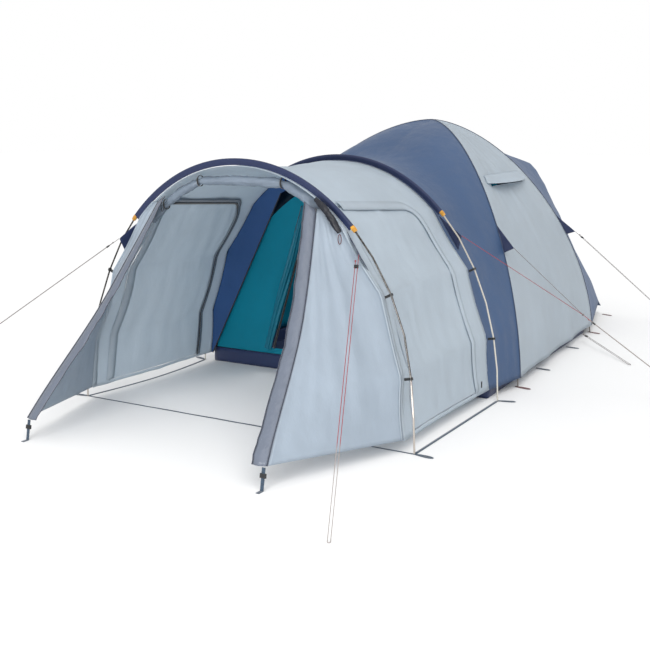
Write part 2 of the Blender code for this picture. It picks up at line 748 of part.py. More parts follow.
def tub(cloth):
    """A floor with low walls, narrower at the rear."""
    made = bmesh.new()
    bmesh.ops.create_cube(made, size=1.0)
    for vert in made.verts:
        half = 1.085 if vert.co.y < 0 else 0.985
        y = INNER_FRONT_Y - 0.010 if vert.co.y < 0 else 3.648
        z = 0.0 if vert.co.z < 0 else TUB
        vert.co = put(math.copysign(half, vert.co.x), y, z)
    top = max(made.faces, key=lambda f: f.calc_center_median().z)
    bmesh.ops.delete(made, geom=[top], context="FACES_ONLY")
    thicken(mesh_object("inner_tub_floor", made, cloth), FABRIC)


def inner_door(cloth):
    """The inner tent's door, unzipped and gathered at the left of its doorway."""
    foot, head = Vector((-0.575, 1.212, 0.140)), Vector((-0.262, 1.212, 1.165))
    line = [mix(foot, head, s) for s in spread(0, 1, 9)]
    radii = [0.75, 1.0, 1.05, 1.0, 0.95, 0.85, 0.75, 0.65, 0.5]
    tube("inner_door", line, 0.026, cloth, radii)


# Webbing on the ground and guy lines


def tab(name, start, end, width, mat):
    """Flat webbing from start to end on the ground."""
    run = Vector((end[0] - start[0], end[1] - start[1], 0))
    across = (run.y, -run.x, 0)
    path = [mix(Vector((*start, 0)), Vector((*end, 0)), s) for s in (0.0, 0.5, 1.0)]
    ribbon(name, path, across, width, WEB, mat)


DOME_FEET = (("front", DOME_FRONT_X, DOME_FRONT_Y, -0.02), ("rear", DOME_REAR_X, DOME_REAR_Y, -0.03))


def ground_straps(webbing):
    """The strap between the front feet, one along each side of the porch, and the dome's foot tabs."""
    tab("front_ground_strap", (-1.290, 0.0), (1.290, 0.0), 0.020, webbing)
    for side_name, side in SIDES:
        start = (side * 1.170, 0.016)
        strap_with_loop(f"side_ground_strap_{side_name}", side, start, webbing)
        for place, x, y, skew in DOME_FEET:
            ends = (side * (x - 0.03), y), (side * (x + 0.10), y + skew)
            tab(f"dome_{place}_foot_tab_{side_name}", *ends, 0.026, webbing)


def strap_with_loop(name, side, start, webbing):
    """A strap back to the middle hoop's foot, with that foot's peg loop joined to its end."""
    width = 0.018
    along = Vector((side * MIDDLE_HALF - start[0], MIDDLE_Y + 0.015 - start[1], 0))
    across = Vector((along.y, -along.x, 0))
    path = [Vector((*start, 0)) + along * s for s in (1.0, 0.5, 0.0)]
    made = ribbon(name, path, across, width, WEB, webbing)
    foot = [(side * x, MIDDLE_Y + skew, 0) for x, skew in ((1.145, 0.0), (1.20, 0.012), (1.265, 0.030))]
    loop = ribbon(f"join_middle_loop_{side}", foot, (0, 1, 0), 0.022, WEB - 0.0003, webbing, "cutters")
    boolean(made, loop, "UNION")


# Where each guy line leaves the tent, set out without the front hoop's bow
FRONT_GUY = Vector((0.836, -0.007, 1.040))
MIDDLE_GUY = Vector((0.884, 1.235, 1.030))
DOME_FRONT_GUY = Vector((1.022, 1.800, 0.902))
DOME_REAR_GUY = Vector((0.905, 3.535, 0.858))
LOW_GUY = Vector((1.085, 3.262, 0.070))


def anchor(name, feet, tip, mat):
    """A triangle of cloth from two feet on the tent to the tip that a guy line pulls on."""
    made = bmesh.new()
    made.faces.new([made.verts.new(p) for p in (*(put(*foot) for foot in feet), set_out(*tip))])
    thicken(mesh_object(name, made, mat), 0.002, 0.0)


def guy_anchors(cloth):
    short = Vector((0.003, 0, 0))  # the line starts this far beyond the cloth's tip
    half, height = porch_size(0.0)
    for side_name, side in SIDES:
        feet = [(side * (half_at(z, half, height, HOOP_POWER) + 0.008), 0.0, z) for z in (1.13, 0.98)]
        tip = FRONT_GUY + Vector((-0.001, 0.004, 0))
        anchor(f"front_guy_anchor_{side_name}", feet, (side * tip.x, tip.y, tip.z), cloth)
    half, height = porch_size(1.0)
    feet = [(half_at(z, half, height, HOOP_POWER) + 0.018, MIDDLE_GUY.y, z) for z in (1.14, 0.96)]
    anchor("middle_guy_anchor_right", feet, MIDDLE_GUY - short, cloth)
    turns = [turn_at(z, DOME_HEIGHT, DOME_FRONT_POWER) for z in (1.03, 0.86)]
    feet = [dome_at(1, t, FLY_OUT + 0.012) for t in turns]
    anchor("dome_front_guy_anchor_right", feet, DOME_FRONT_GUY - short, cloth)
    turns = [math.pi - turn_at(z, DOME_HEIGHT, DOME_REAR_POWER) for z in (0.98, 0.83)]
    feet = [dome_at(-1, t, FLY_OUT + 0.012) for t in turns]
    anchor("dome_rear_guy_anchor_right", feet, DOME_REAR_GUY - short, cloth)


# Each guy line: where it leaves its anchor and bends, its peg, and its runner's distance from the
# last of those points
JOIN_KNOT = Vector((1.568, 1.600, 0.530))
FRONT_GUY_LEFT = Vector((-FRONT_GUY.x, FRONT_GUY.y, FRONT_GUY.z))
GUY_LINES = {
    "front_guy_line_right": ((FRONT_GUY,), Vector((1.379, -1.215, 0.004)), 0.085),
    "front_guy_line_left": ((FRONT_GUY_LEFT,), Vector((-1.868, -1.146, 0.004)), 0.085),
    "middle_guy_line_right": ((MIDDLE_GUY, JOIN_KNOT), Vector((2.287, 1.737, 0.004)), 0.085),
    "dome_rear_guy_line_right": ((DOME_REAR_GUY,), Vector((1.525, 4.517, 0.004)), 0.085),
    "low_guy_line_right": ((LOW_GUY,), Vector((1.631, 2.631, 0.004)), 0.085),
}
TAIL = 0.040  # of the second strand above its runner
RUNNER_LONG, RUNNER_WIDE, RUNNER_THICK = 0.020, 0.025, 0.008


def guy_route(starts, peg, runner):
    """Down to the peg, round it, and back beside itself to a little above the runner."""
    last = starts[-1]
    along = (peg - last).normalized()
    beside = along.cross(Vector((0, 0, 1))).normalized()
    turn_r = STRAND_GAP / 2
    line = []
    for first, second in zip(starts, starts[1:]):
        line += [mix(first, second, s) for s in (0.0, 0.25, 0.5, 0.75, 0.985)]
    line += [mix(last, peg, s) for s in spread(0.012 if len(starts) > 1 else 0.0, 1, 9)]
    centre = peg + beside * turn_r
    flat = Vector((along.x, along.y, 0)).normalized()
    for step in spread(0, math.pi, 7)[1:]:
        line.append(centre - beside * turn_r * math.cos(step) + flat * turn_r * math.sin(step))
    back = (peg - last).length - runner + TAIL
    line += [peg + beside * STRAND_GAP - along * back * s for s in spread(0, 1, 8)[1:]]
    return line


def guy_lines(cord, plastic):
    for name, (starts, peg, runner) in GUY_LINES.items():
        tube(name, guy_route(starts, peg, runner), CORD_R, cord, place=set_out)
        last = starts[-1]
        along = (peg - last).normalized()
        beside = along.cross(Vector((0, 0, 1))).normalized()
        middle = last + along * runner + beside * STRAND_GAP / 2
        frame = facing(middle, along, beside, set_out)
        wide, thick = RUNNER_WIDE / 2, RUNNER_THICK / 2
        edge = arc((wide - thick, 0), thick, -math.pi / 2, math.pi / 2, 5)
        edge += arc((thick - wide, 0), thick, math.pi / 2, math.pi * 1.5, 5)
        bores = [arc((s * STRAND_GAP / 2, 0), CORD_R + 0.0008, 0, math.tau, 9)[:-1] for s in (-1, 1)]
        runner_name = name.replace("guy_line", "guy_runner")
        plate(runner_name, [edge, *bores], RUNNER_LONG, plastic, frame)
    run = JOIN_KNOT - DOME_FRONT_GUY
    line = [DOME_FRONT_GUY + run * s for s in spread(0.0, 1 - 0.006 / run.length, 8)]
    tube("dome_front_guy_line_right", line, CORD_R, cord, place=set_out)


def build():
    clear_scene()
    alloy = material("anodised_pole", (0.10, 0.10, 0.11), 0.35, 0.8)
    light = material("light_fly", (0.42, 0.50, 0.57), 0.6)
    blue = material("blue_fly", (0.10, 0.15, 0.30), 0.6)
    navy = material("navy_cloth", (0.03, 0.04, 0.10), 0.7)
    teal = material("teal_cloth", (0.01, 0.20, 0.26), 0.7)
    grey = material("grey_fly", (0.30, 0.31, 0.34), 0.6)
    webbing = material("webbing", (0.02, 0.03, 0.04), 0.8)
    plastic = material("black_plastic", (0.01, 0.01, 0.012), 0.4)
    cord = material("guy_cord", (0.25, 0.05, 0.06), 0.8)
    hoop_poles(alloy)
    dome_poles(alloy)
    brow_pole(alloy)
    for name, half, height, y in HOOPS:
        sleeve(f"{name}_hoop_sleeve", half, height, y, navy)
    clips(plastic)
    porch(light)
    side_doors(light)
    zip_sliders(plastic)
    dome_front(blue)
    dome_sides(light, webbing)
    vent_hoods(light)
    dome_rear(blue, webbing)
    wings(light, webbing, plastic)
    rolled_door(grey)
    divider(blue)
    inner_tent(teal, navy)
    inner_door(teal)
    ground_straps(webbing)
    guy_anchors(navy)
    guy_lines(cord, plastic)


build()
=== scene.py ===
"""The visual model of a family tent on poles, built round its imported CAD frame.

Metres, in the frame's own coordinates: +X right, +Y towards the rear, +Z up, the ground at z = 0.
Sizes are laid out from the front hoop's feet, as the part's own source does. set_out() moves them to
the frame, and put() also bows the front of the porch back a little, as its hoop does.
"""

import math

import bmesh
import bpy
from mathutils import Matrix, Vector, noise


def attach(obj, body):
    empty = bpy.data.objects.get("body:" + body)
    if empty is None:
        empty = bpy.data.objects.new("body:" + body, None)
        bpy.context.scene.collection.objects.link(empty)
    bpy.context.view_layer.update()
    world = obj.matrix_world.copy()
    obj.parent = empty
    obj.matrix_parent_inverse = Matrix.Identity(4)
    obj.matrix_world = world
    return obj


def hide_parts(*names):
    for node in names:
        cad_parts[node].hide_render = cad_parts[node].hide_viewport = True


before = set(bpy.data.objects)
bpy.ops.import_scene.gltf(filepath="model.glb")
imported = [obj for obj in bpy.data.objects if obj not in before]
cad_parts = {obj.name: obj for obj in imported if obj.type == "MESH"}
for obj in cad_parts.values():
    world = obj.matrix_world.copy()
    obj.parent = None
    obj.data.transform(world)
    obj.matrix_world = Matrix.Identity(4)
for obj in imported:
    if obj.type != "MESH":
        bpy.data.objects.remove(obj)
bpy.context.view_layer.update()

# Driving dimensions, the same as the CAD model's
MIDDLE_OF_FOOTPRINT = 1.875
FRONT_HALF, FRONT_HEIGHT = 1.172, 1.519
MIDDLE_HALF, MIDDLE_HEIGHT, MIDDLE_Y = 1.160, 1.517, 1.217
HOOP_POWER = 2.05
DOME_FRONT_X, DOME_FRONT_Y = 1.147, 1.615
DOME_REAR_X, DOME_REAR_Y = 1.025, 3.668
CROSS_Y, DOME_HEIGHT = 2.64, 1.746
DOME_FRONT_POWER, DOME_REAR_POWER = 1.74, 1.67
FRONT_BOW, BOW_FROM, BOW_FULL = 0.065, 0.15, 0.75
REAR_Y, BROW_Y = 4.63, 4.35
BELL = (
    (0.877, 0.0), (0.775, 0.31), (0.625, 0.59), (0.490, 0.92), (0.435, 1.01), (0.350, 1.18),
    (0.262, 1.32), (0.205, 1.38), (0.100, 1.422), (0.0, 1.43),
)  # fmt: skip
BELL_HEIGHT = BELL[-1][1]
HEM = 0.065
FABRIC_IN, FABRIC_UNDER = 0.046, 0.031
FLY_OUT = 0.018
SLEEVE_END_Z = 1.175
CLIP_LOW, CLIP_HIGH = 0.40, 0.83
DOOR_FRONT, DOOR_REAR, DOOR_FOOT = 0.13, 1.03, 0.09
DOOR_TOP_FRONT, DOOR_TOP_REAR, DOOR_CORNER = 1.265, 1.222, 0.16
CORD_R = 0.00175
STRAND_GAP = 0.014
CLOTH = 0.0012
SIDES = (("left", -1), ("right", 1))


def set_out(x, y, z):
    return Vector((x, y - MIDDLE_OF_FOOTPRINT, z))


def put(x, y, z):
    rise = min(1.0, max(0.0, (z - BOW_FROM) / (BOW_FULL - BOW_FROM)))
    near = min(1.0, max(0.0, 1 - y / MIDDLE_Y))
    return set_out(x, y + FRONT_BOW * near * rise * rise * (3 - 2 * rise), z)


def mix(a, b, share):
    return a + (b - a) * share


def clamp(value, low=0.0, high=1.0):
    return max(low, min(high, value))


def smooth(value):
    value = clamp(value)
    return value * value * (3 - 2 * value)


def hump(share):
    """0 at both ends and 1 half-way."""
    return math.sin(math.pi * share)


def billow(x, y, z):
    """Smooth noise, about -1 to 1, that is the same on every run."""
    return noise.noise(Vector((x, y, z)))


def spread(first, last, count):
    return [mix(first, last, i / (count - 1)) for i in range(count)]


def superellipse(half, height, turn, power):
    c = math.cos(turn)
    return half * math.copysign(abs(c) ** (2 / power), c), height * abs(math.sin(turn)) ** (2 / power)


def turn_at(z, height, power):
    return math.asin(min(1.0, z / height) ** (power / 2))


def half_at(z, half, height, power):
    return superellipse(half, height, turn_at(z, height, power), power)[0]


def dome_plan(s):
    front = (DOME_FRONT_Y - CROSS_Y) / DOME_FRONT_X
    rear = (DOME_REAR_Y - CROSS_Y) / DOME_REAR_X
    bow = (front + rear) / (DOME_FRONT_X + DOME_REAR_X)
    return CROSS_Y - (rear - bow * DOME_REAR_X) * s + bow * s * s


def dome_at(side, turn, grow=0.0):
    """On the crossing pole whose front foot is on this side, grow metres out from it."""
    front = turn <= math.pi / 2
    foot, power = (DOME_FRONT_X, DOME_FRONT_POWER) if front else (DOME_REAR_X, DOME_REAR_POWER)
    s, z = superellipse(foot, DOME_HEIGHT + grow, turn, power)
    return Vector((side * s * (foot + grow) / foot, dome_plan(s), z))


def front_seam(turn, grow=FLY_OUT):
    if turn <= math.pi / 2:
        return dome_at(1, turn, grow)
    return dome_at(-1, math.pi - turn, grow)


def rear_seam(turn, grow=FLY_OUT):
    if turn <= math.pi / 2:
        return dome_at(-1, math.pi - turn, grow)
    return dome_at(1, turn, grow)


# Camera

LENS_MM = 55.1
EYE = (3.3669, -4.5501, 1.68)
EYE_TURN, EYE_DOWN, EYE_ROLL = 0.5426, 0.1927, -0.0037


def camera():
    made = bpy.data.cameras.new("camera")
    made.lens = LENS_MM
    made.sensor_width = 36.0
    made.clip_end = 200
    eye = bpy.data.objects.new("camera", made)
    bpy.context.scene.collection.objects.link(eye)
    eye.matrix_world = (
        Matrix.Translation(set_out(*EYE))
        @ Matrix.Rotation(EYE_TURN, 4, "Z")
        @ Matrix.Rotation(math.pi / 2 - EYE_DOWN, 4, "X")
        @ Matrix.Rotation(EYE_ROLL, 4, "Z")
    )
    bpy.context.scene.camera = eye


# Materials


def srgb(r, g, b):
    return tuple(((c / 255 + 0.055) / 1.055) ** 2.4 if c > 10 else c / 255 / 12.92 for c in (r, g, b))


class Nodes:
    """A short way to wire a material."""

    def __init__(self, name):
        self.material = bpy.data.materials.new(name)
        self.material.use_nodes = True
        self.tree = self.material.node_tree
        self.shader = self.tree.nodes["Principled BSDF"]
        self.output = self.tree.nodes["Material Output"]

    def add(self, kind, values=None, **settings):
        node = self.tree.nodes.new(kind)
        for key, value in settings.items():
            setattr(node, key, value)
        for key, value in (values or {}).items():
            node.inputs[key].default_value = value
        return node

    def link(self, source, target):
        self.tree.links.new(source, target)
        return target.node

    def math(self, operation, first, second=None):
        node = self.add("ShaderNodeMath", operation=operation)
        for socket, value in zip(node.inputs, (first, second)):
            if isinstance(value, (int, float)):
                socket.default_value = value
            elif value is not None:
                self.link(value, socket)
        return node.outputs[0]

    def scaled(self, vector, scale):
        node = self.add("ShaderNodeMapping", {"Scale": scale})
        self.link(vector, node.inputs["Vector"])
        return node.outputs[0]

    def noise(self, vector, scale, detail=3.0, roughness=0.55):
        node = self.add("ShaderNodeTexNoise", {"Scale": scale, "Detail": detail, "Roughness": roughness})
        self.link(vector, node.inputs["Vector"])
        return node.outputs["Fac"]

    def ramp(self, value, low, high, first, last):
        """value between low and high as a number between first and last."""
        node = self.add(
            "ShaderNodeMapRange", {"From Min": low, "From Max": high, "To Min": first, "To Max": last}
        )
        self.link(value, node.inputs["Value"])
        return node.outputs[0]

    def blend(self, share, first, second):
        node = self.add("ShaderNodeMix", data_type="RGBA")
        for socket, value in ((node.inputs[6], first), (node.inputs[7], second)):
            if isinstance(value, tuple):
                socket.default_value = (*value, 1.0)
            else:
                self.link(value, socket)
        self.link(share, node.inputs[0])
        return node.outputs[2]

    def bump(self, height, distance, strength=1.0, normal=None):
        node = self.add("ShaderNodeBump", {"Distance": distance, "Strength": strength})
        self.link(height, node.inputs["Height"])
        if normal is not None:
            self.link(normal, node.inputs["Normal"])
        return node.outputs[0]


def cloth(name, colour, through=0.3, rough=0.5, crinkle=0.0012, sheen=0.15, soil=0.05):
    """Coated tent cloth: a fine plain weave, soft crinkles, a little light let through."""
    n = Nodes(name)
    uv = n.add("ShaderNodeTexCoord").outputs["UV"]
    place = n.add("ShaderNodeTexCoord").outputs["Object"]
    broad = n.noise(place, 1.6, 2.0)
    fine = n.noise(n.scaled(place, (1.0, 1.0, 0.6)), 14.0, 4.0)
    tone = n.math("ADD", n.math("MULTIPLY", broad, 0.6), n.math("MULTIPLY", fine, 0.4))
    dark = tuple(c * (1 - soil * 1.6) for c in colour)
    light = tuple(min(1.0, c * (1 + soil)) for c in colour)
    shade = n.blend(n.ramp(tone, 0.35, 0.65, 0.0, 1.0), dark, light)
    warp = n.add(
        "ShaderNodeTexWave",
        {"Scale": 420.0},
        wave_type="BANDS",
        bands_direction="X",
        wave_profile="SIN",
    )
    weft = n.add(
        "ShaderNodeTexWave",
        {"Scale": 420.0},
        wave_type="BANDS",
        bands_direction="Y",
        wave_profile="SIN",
    )
    n.link(uv, warp.inputs["Vector"])
    n.link(uv, weft.inputs["Vector"])
    weave = n.math("MAXIMUM", warp.outputs["Fac"], weft.outputs["Fac"])
    shade = n.blend(n.ramp(weave, 0.0, 1.0, 0.10, 0.0), shade, tuple(c * 0.75 for c in colour))
    n.link(shade, n.shader.inputs["Base Color"])
    rough_value = n.ramp(fine, 0.3, 0.7, rough - 0.06, rough + 0.08)
    n.link(rough_value, n.shader.inputs["Roughness"])
    n.shader.inputs["Sheen Weight"].default_value = sheen
    n.shader.inputs["Sheen Roughness"].default_value = 0.4
    n.shader.inputs["Specular IOR Level"].default_value = 0.4
    creases = n.noise(n.scaled(place, (9.0, 9.0, 4.0)), 1.0, 5.0, 0.6)
    bumped = n.bump(creases, crinkle * 6, 0.5)
    bumped = n.bump(weave, 0.00015, 0.35, bumped)
    n.link(bumped, n.shader.inputs["Normal"])
    if through:
        back = n.add("ShaderNodeBsdfTranslucent", {"Color": (*colour, 1.0)})
        n.link(bumped, back.inputs["Normal"])
        mixed = n.add("ShaderNodeMixShader", {0: through})
        n.link(n.shader.outputs[0], mixed.inputs[1])
        n.link(back.outputs[0], mixed.inputs[2])
        n.link(mixed.outputs[0], n.output.inputs["Surface"])
    return n.material


def webbing(name, colour):
    """Woven tape: ribs across its length."""
    n = Nodes(name)
    uv = n.add("ShaderNodeTexCoord").outputs["UV"]
    ribs = n.add("ShaderNodeTexWave", {"Scale": 160.0}, wave_type="BANDS", bands_direction="DIAGONAL")
    n.link(uv, ribs.inputs["Vector"])
    place = n.add("ShaderNodeTexCoord").outputs["Object"]
    worn = n.noise(place, 60.0, 3.0)
    shade = n.blend(n.ramp(ribs.outputs["Fac"], 0, 1, 0, 1), tuple(c * 0.6 for c in colour), colour)
    shade = n.blend(
        n.ramp(worn, 0.45, 0.75, 0.0, 0.35), shade, tuple(min(1, c * 1.8 + 0.01) for c in colour)
    )
    n.link(shade, n.shader.inputs["Base Color"])
    n.shader.inputs["Roughness"].default_value = 0.75
    n.shader.inputs["Sheen Weight"].default_value = 0.3
    n.link(n.bump(ribs.outputs["Fac"], 0.0004, 0.6), n.shader.inputs["Normal"])
    return n.material


def plastic(name, colour, rough=0.42):
    """Moulded plastic with a fine spark-eroded grain and lighter rubbed patches."""
    n = Nodes(name)
    place = n.add("ShaderNodeTexCoord").outputs["Object"]
    grain = n.noise(place, 900.0, 2.0)
    rubbed = n.noise(place, 45.0, 3.0)
    shade = n.blend(
        n.ramp(rubbed, 0.5, 0.8, 0.0, 0.4), colour, tuple(min(1, c * 2 + 0.02) for c in colour)
    )
    n.link(shade, n.shader.inputs["Base Color"])
    n.link(n.ramp(rubbed, 0.3, 0.7, rough - 0.08, rough + 0.1), n.shader.inputs["Roughness"])
    n.link(n.bump(grain, 0.0001, 0.4), n.shader.inputs["Normal"])
    return n.material


def pole_finish(name, low, high, change_from, change_to):
    """A wound fibreglass rod: glossy, darker above and paler on its bare lower sections."""
    n = Nodes(name)
    place = n.add("ShaderNodeTexCoord").outputs["Object"]
    parts = n.add("ShaderNodeSeparateXYZ")
    n.link(place, parts.inputs[0])
    height = n.ramp(parts.outputs["Z"], change_from, change_to, 0.0, 1.0)
    streak = n.noise(n.scaled(place, (120.0, 120.0, 9.0)), 1.0, 3.0)
    shade = n.blend(height, low, high)
    shade = n.blend(n.ramp(streak, 0.35, 0.7, 0.0, 0.35), shade, tuple(c * 0.6 for c in low))
    n.link(shade, n.shader.inputs["Base Color"])
    n.shader.inputs["Metallic"].default_value = 0.35
    n.link(n.ramp(streak, 0.3, 0.7, 0.22, 0.34), n.shader.inputs["Roughness"])
    n.link(n.bump(streak, 0.0002, 0.3), n.shader.inputs["Normal"])
    return n.material


def rope(name, upper, lower, change):
    """Braided cord, its upper stretch one colour and its lower another."""
    n = Nodes(name)
    place = n.add("ShaderNodeTexCoord").outputs["Object"]
    parts = n.add("ShaderNodeSeparateXYZ")
    n.link(place, parts.inputs[0])
    share = n.ramp(parts.outputs["Z"], change - 0.01, change + 0.01, 0.0, 1.0)
    braid = n.add(
        "ShaderNodeTexWave",
        {"Scale": 90.0, "Distortion": 2.0},
        wave_type="BANDS",
        bands_direction="DIAGONAL",
    )
    n.link(place, braid.inputs["Vector"])
    shade = n.blend(share, lower, upper)
    shade = n.blend(n.ramp(braid.outputs["Fac"], 0, 1, 0.45, 0.0), shade, tuple(c * 0.35 for c in upper))
    n.link(shade, n.shader.inputs["Base Color"])
    n.shader.inputs["Roughness"].default_value = 0.8
    n.link(n.bump(braid.outputs["Fac"], 0.0004, 0.7), n.shader.inputs["Normal"])
    return n.material


# Meshes


def finish_mesh(name, made, mat, body, crease=50):
    mesh = bpy.data.meshes.new(name)
    made.to_mesh(mesh)
    made.free()
    mesh.materials.append(mat)
    mesh.shade_smooth()
    mesh.set_sharp_from_angle(angle=math.radians(crease))
    piece = bpy.data.objects.new(name, mesh)
    bpy.context.scene.collection.objects.link(piece)
    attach(piece, body)
    return piece


def apply_modifiers(piece):
    graph = bpy.context.evaluated_depsgraph_get()
    mesh = bpy.data.meshes.new_from_object(piece.evaluated_get(graph))
    piece.modifiers.clear()
    old = piece.data
    piece.data = mesh
    bpy.data.meshes.remove(old)
    mesh.name = piece.name
    return piece


def thicken(piece, thickness, offset):
    solid = piece.modifiers.new("thickness", "SOLIDIFY")
    solid.thickness = thickness
    solid.offset = offset


def grid(rows, inside=None):
    """A surface through rows of points, with a UV map in metres, facing away from inside."""
    made = bmesh.new()
    layer = made.loops.layers.uv.new("metres")
    verts = [[made.verts.new(p) for p in row] for row in rows]
    across, down = [0.0], [0.0]
    middle = rows[len(rows) // 2]
    for a, b in zip(middle, middle[1:]):
        across.append(across[-1] + (b - a).length)
    column = [row[len(row) // 2] for row in rows]
    for a, b in zip(column, column[1:]):
        down.append(down[-1] + (b - a).length)
    for i, (low, high) in enumerate(zip(verts, verts[1:])):
        for j in range(len(low) - 1):
            try:
                face = made.faces.new((low[j], low[j + 1], high[j + 1], high[j]))
            except ValueError:
                continue
            spots = ((j, i), (j + 1, i), (j + 1, i + 1), (j, i + 1))
            for loop, (u, v) in zip(face.loops, spots):
                loop[layer].uv = (across[u], down[v])
    made.normal_update()
    if inside is not None:
        outward = sum(f.calc_area() * f.normal.dot(f.calc_center_median() - inside) for f in made.faces)
        if outward < 0:
            bmesh.ops.reverse_faces(made, faces=made.faces)
            made.normal_update()
    return made


INSIDE = put(0.0, 1.9, 0.2)


def sheet(
    name,
    rows,
    mat,
    body,
    nodes=(),
    thickness=CLOTH,
    push=None,
    inside=INSIDE,
    cutters=(),
):
    """A sheet of cloth through rows of points in the tent's layout, thickened, with the CAD nodes it
    stands for hidden.

    push(s, t) moves the cloth along its normal, with s along the rows and t across them.
    """
    placed = [[put(*p) for p in row] for row in rows]
    made = grid(placed, inside)
    if push:
        count, wide = len(rows), len(rows[0])
        verts = list(made.verts)
        made.verts.ensure_lookup_table()
        moves = []
        for k, vert in enumerate(made.verts):
            i, j = divmod(k, wide)
            moves.append(vert.normal * push(j / (wide - 1), i / (count - 1)))
        for vert, move in zip(verts, moves):
            vert.co += move
    piece = finish_mesh(name, made, mat, body)
    thicken(piece, thickness, -1.0)
    for operation, cutter in cutters:
        step = piece.modifiers.new(operation.lower(), "BOOLEAN")
        step.operation = operation
        step.object = cutter
    apply_modifiers(piece)
    for _, cutter in cutters:
        bpy.data.objects.remove(cutter)
    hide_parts(*nodes)
    return piece


def ribbon(name, path, across, width, mat, body, thickness=0.0016, inside=None):
    """Tape along a path. across is one direction, or one for each point of the path."""
    rows = []
    for k, p in enumerate(path):
        way = across[k] if isinstance(across, list) else Vector(across)
        half = way.normalized() * width / 2
        rows.append([put(*p) - half, put(*p) + half])
    made = grid(rows, inside if inside is not None else INSIDE - Vector((0, 0, 60)))
    piece = finish_mesh(name, made, mat, body)
    thicken(piece, thickness, 1.0)
    return apply_modifiers(piece)


def tube(name, path, radius, mat, body, radii=None, sides=10, ripple=None):
    """A round bar through points in the tent's layout."""
    placed = [put(*p) for p in path]
    made = bmesh.new()
    rings = []
    reference = None
    for k, p in enumerate(placed):
        ahead = placed[min(k + 1, len(placed) - 1)]
        behind = placed[max(k - 1, 0)]
        along = (ahead - behind).normalized()
        if reference is None:
            reference = Vector((0, 0, 1)) if abs(along.z) < 0.9 else Vector((1, 0, 0))
        first = (reference - along * reference.dot(along)).normalized()
        reference = first
        second = along.cross(first)
        r = radius * (radii[k] if radii else 1.0)
        ring = []
        for i in range(sides):
            a = math.tau * i / sides
            grow = ripple(k / (len(placed) - 1), a) if ripple else 1.0
            ring.append(made.verts.new(p + (first * math.cos(a) + second * math.sin(a)) * r * grow))
        rings.append(ring)
    for low, high in zip(rings, rings[1:]):
        for i in range(sides):
            j = (i + 1) % sides
            made.faces.new((low[i], low[j], high[j], high[i]))
    made.faces.new(rings[0][::-1])
    made.faces.new(rings[-1])
    bmesh.ops.recalc_face_normals(made, faces=made.faces)
    return finish_mesh(name, made, mat, body)


def prism(outline, low, high):
    """A cutter along X whose section is an outline of (y, z) points in the tent's layout."""
    made = bmesh.new()
    face = made.faces.new([made.verts.new(put(low, y, z)) for y, z in outline])
    pushed = bmesh.ops.extrude_face_region(made, geom=[face])
    moved = [v for v in pushed["geom"] if isinstance(v, bmesh.types.BMVert)]
    bmesh.ops.translate(made, verts=moved, vec=(high - low, 0, 0))
    bmesh.ops.recalc_face_normals(made, faces=made.faces)
    mesh = bpy.data.meshes.new("cutter")
    made.to_mesh(mesh)
    made.free()
    cutter = bpy.data.objects.new("cutter", mesh)
    bpy.context.scene.collection.objects.link(cutter)
    return cutter


def arc(centre, radius, first, last, count):
    return [
        (centre[0] + radius * math.cos(a), centre[1] + radius * math.sin(a)) for a in spread(
            first, last, count
        )
    ]


# Cloth of the porch


def porch_size(share):
    """The porch cloth's half width and height, share of the way from the front hoop to the middle one."""
    half = mix(FRONT_HALF, MIDDLE_HALF, share) - FABRIC_IN
    return half, mix(FRONT_HEIGHT, MIDDLE_HEIGHT, share) - FABRIC_UNDER


def hoop_edge(z, half, height):
    """Half width of the cloth at a hoop: it runs straight between the clips below the sleeve."""
    stops = (0.0, CLIP_LOW, CLIP_HIGH, SLEEVE_END_Z)
    if z >= SLEEVE_END_Z:
        return half_at(z, half, height, HOOP_POWER)
    for low, high in zip(stops, stops[1:]):
        if z <= high:
            share = (z - low) / (high - low)
            first, last = (half_at(s, half, height, HOOP_POWER) for s in (low, high))
            return mix(first, last, share) - 0.010 * hump(share)
    return half


def porch_half(z, share):
    """Half width of the porch at height z: the cloth pulls in between the hoops."""
    ends = [hoop_edge(z, *porch_size(end)) for end in (0.0, 1.0)]
    pull = hump(clamp(share)) ** 0.8
    steep = hump(clamp(z / 1.49)) ** 0.8
    return mix(*ends, share) - 0.056 * pull * steep


def porch_point(share, turn):
    """On the porch cloth: turn as on the hoops."""
    half, height = porch_size(share)
    x, z = superellipse(half, height, turn, HOOP_POWER)
    sag = 0.022 * hump(share) * math.sin(turn) ** 6
    reach = porch_half(z, share) if z < 1.45 else abs(x)
    reach = mix(reach, abs(x), smooth((z - 1.38) / 0.07))
    return Vector((math.copysign(reach, x), MIDDLE_Y * share, z - sag))


def wall_point(side, y, z, lift=0.0):
    """On the porch wall, lift metres out from it."""
    share = y / MIDDLE_Y
    x = porch_half(z, share)
    lean = max(0.0, porch_half(z - 0.01, share) - porch_half(z + 0.01, share)) / 0.02
    out = Vector((1.0, 0.0, lean)).normalized()
    return Vector((side * (x + out.x * lift), y, z + out.z * lift))


def wrinkled(scale_s, scale_t, size, seed, hold=0.06):
    """Soft folds that die out at the sheet's edges."""

    def push(s, t):
        edge = smooth(min(s, 1 - s, t, 1 - t) / hold)
        return size * edge * (
            billow(s * scale_s, t * scale_t, seed) + 0.4 * billow(
                s * scale_s * 2.3, t * scale_t * 2.1, seed + 7
            )
        )

    return push


def door_outline(grow):
    front, rear, low = DOOR_FRONT - grow, DOOR_REAR + grow, DOOR_FOOT - grow
    radius = DOOR_CORNER + grow
    corner = arc((rear - radius, DOOR_TOP_REAR + grow - radius), radius, 0, math.pi / 2, 9)
    top = DOOR_TOP_FRONT + grow
    return [(front, low), (rear, low)] + corner + [(front + 0.03, top), (front, top - 0.03)]


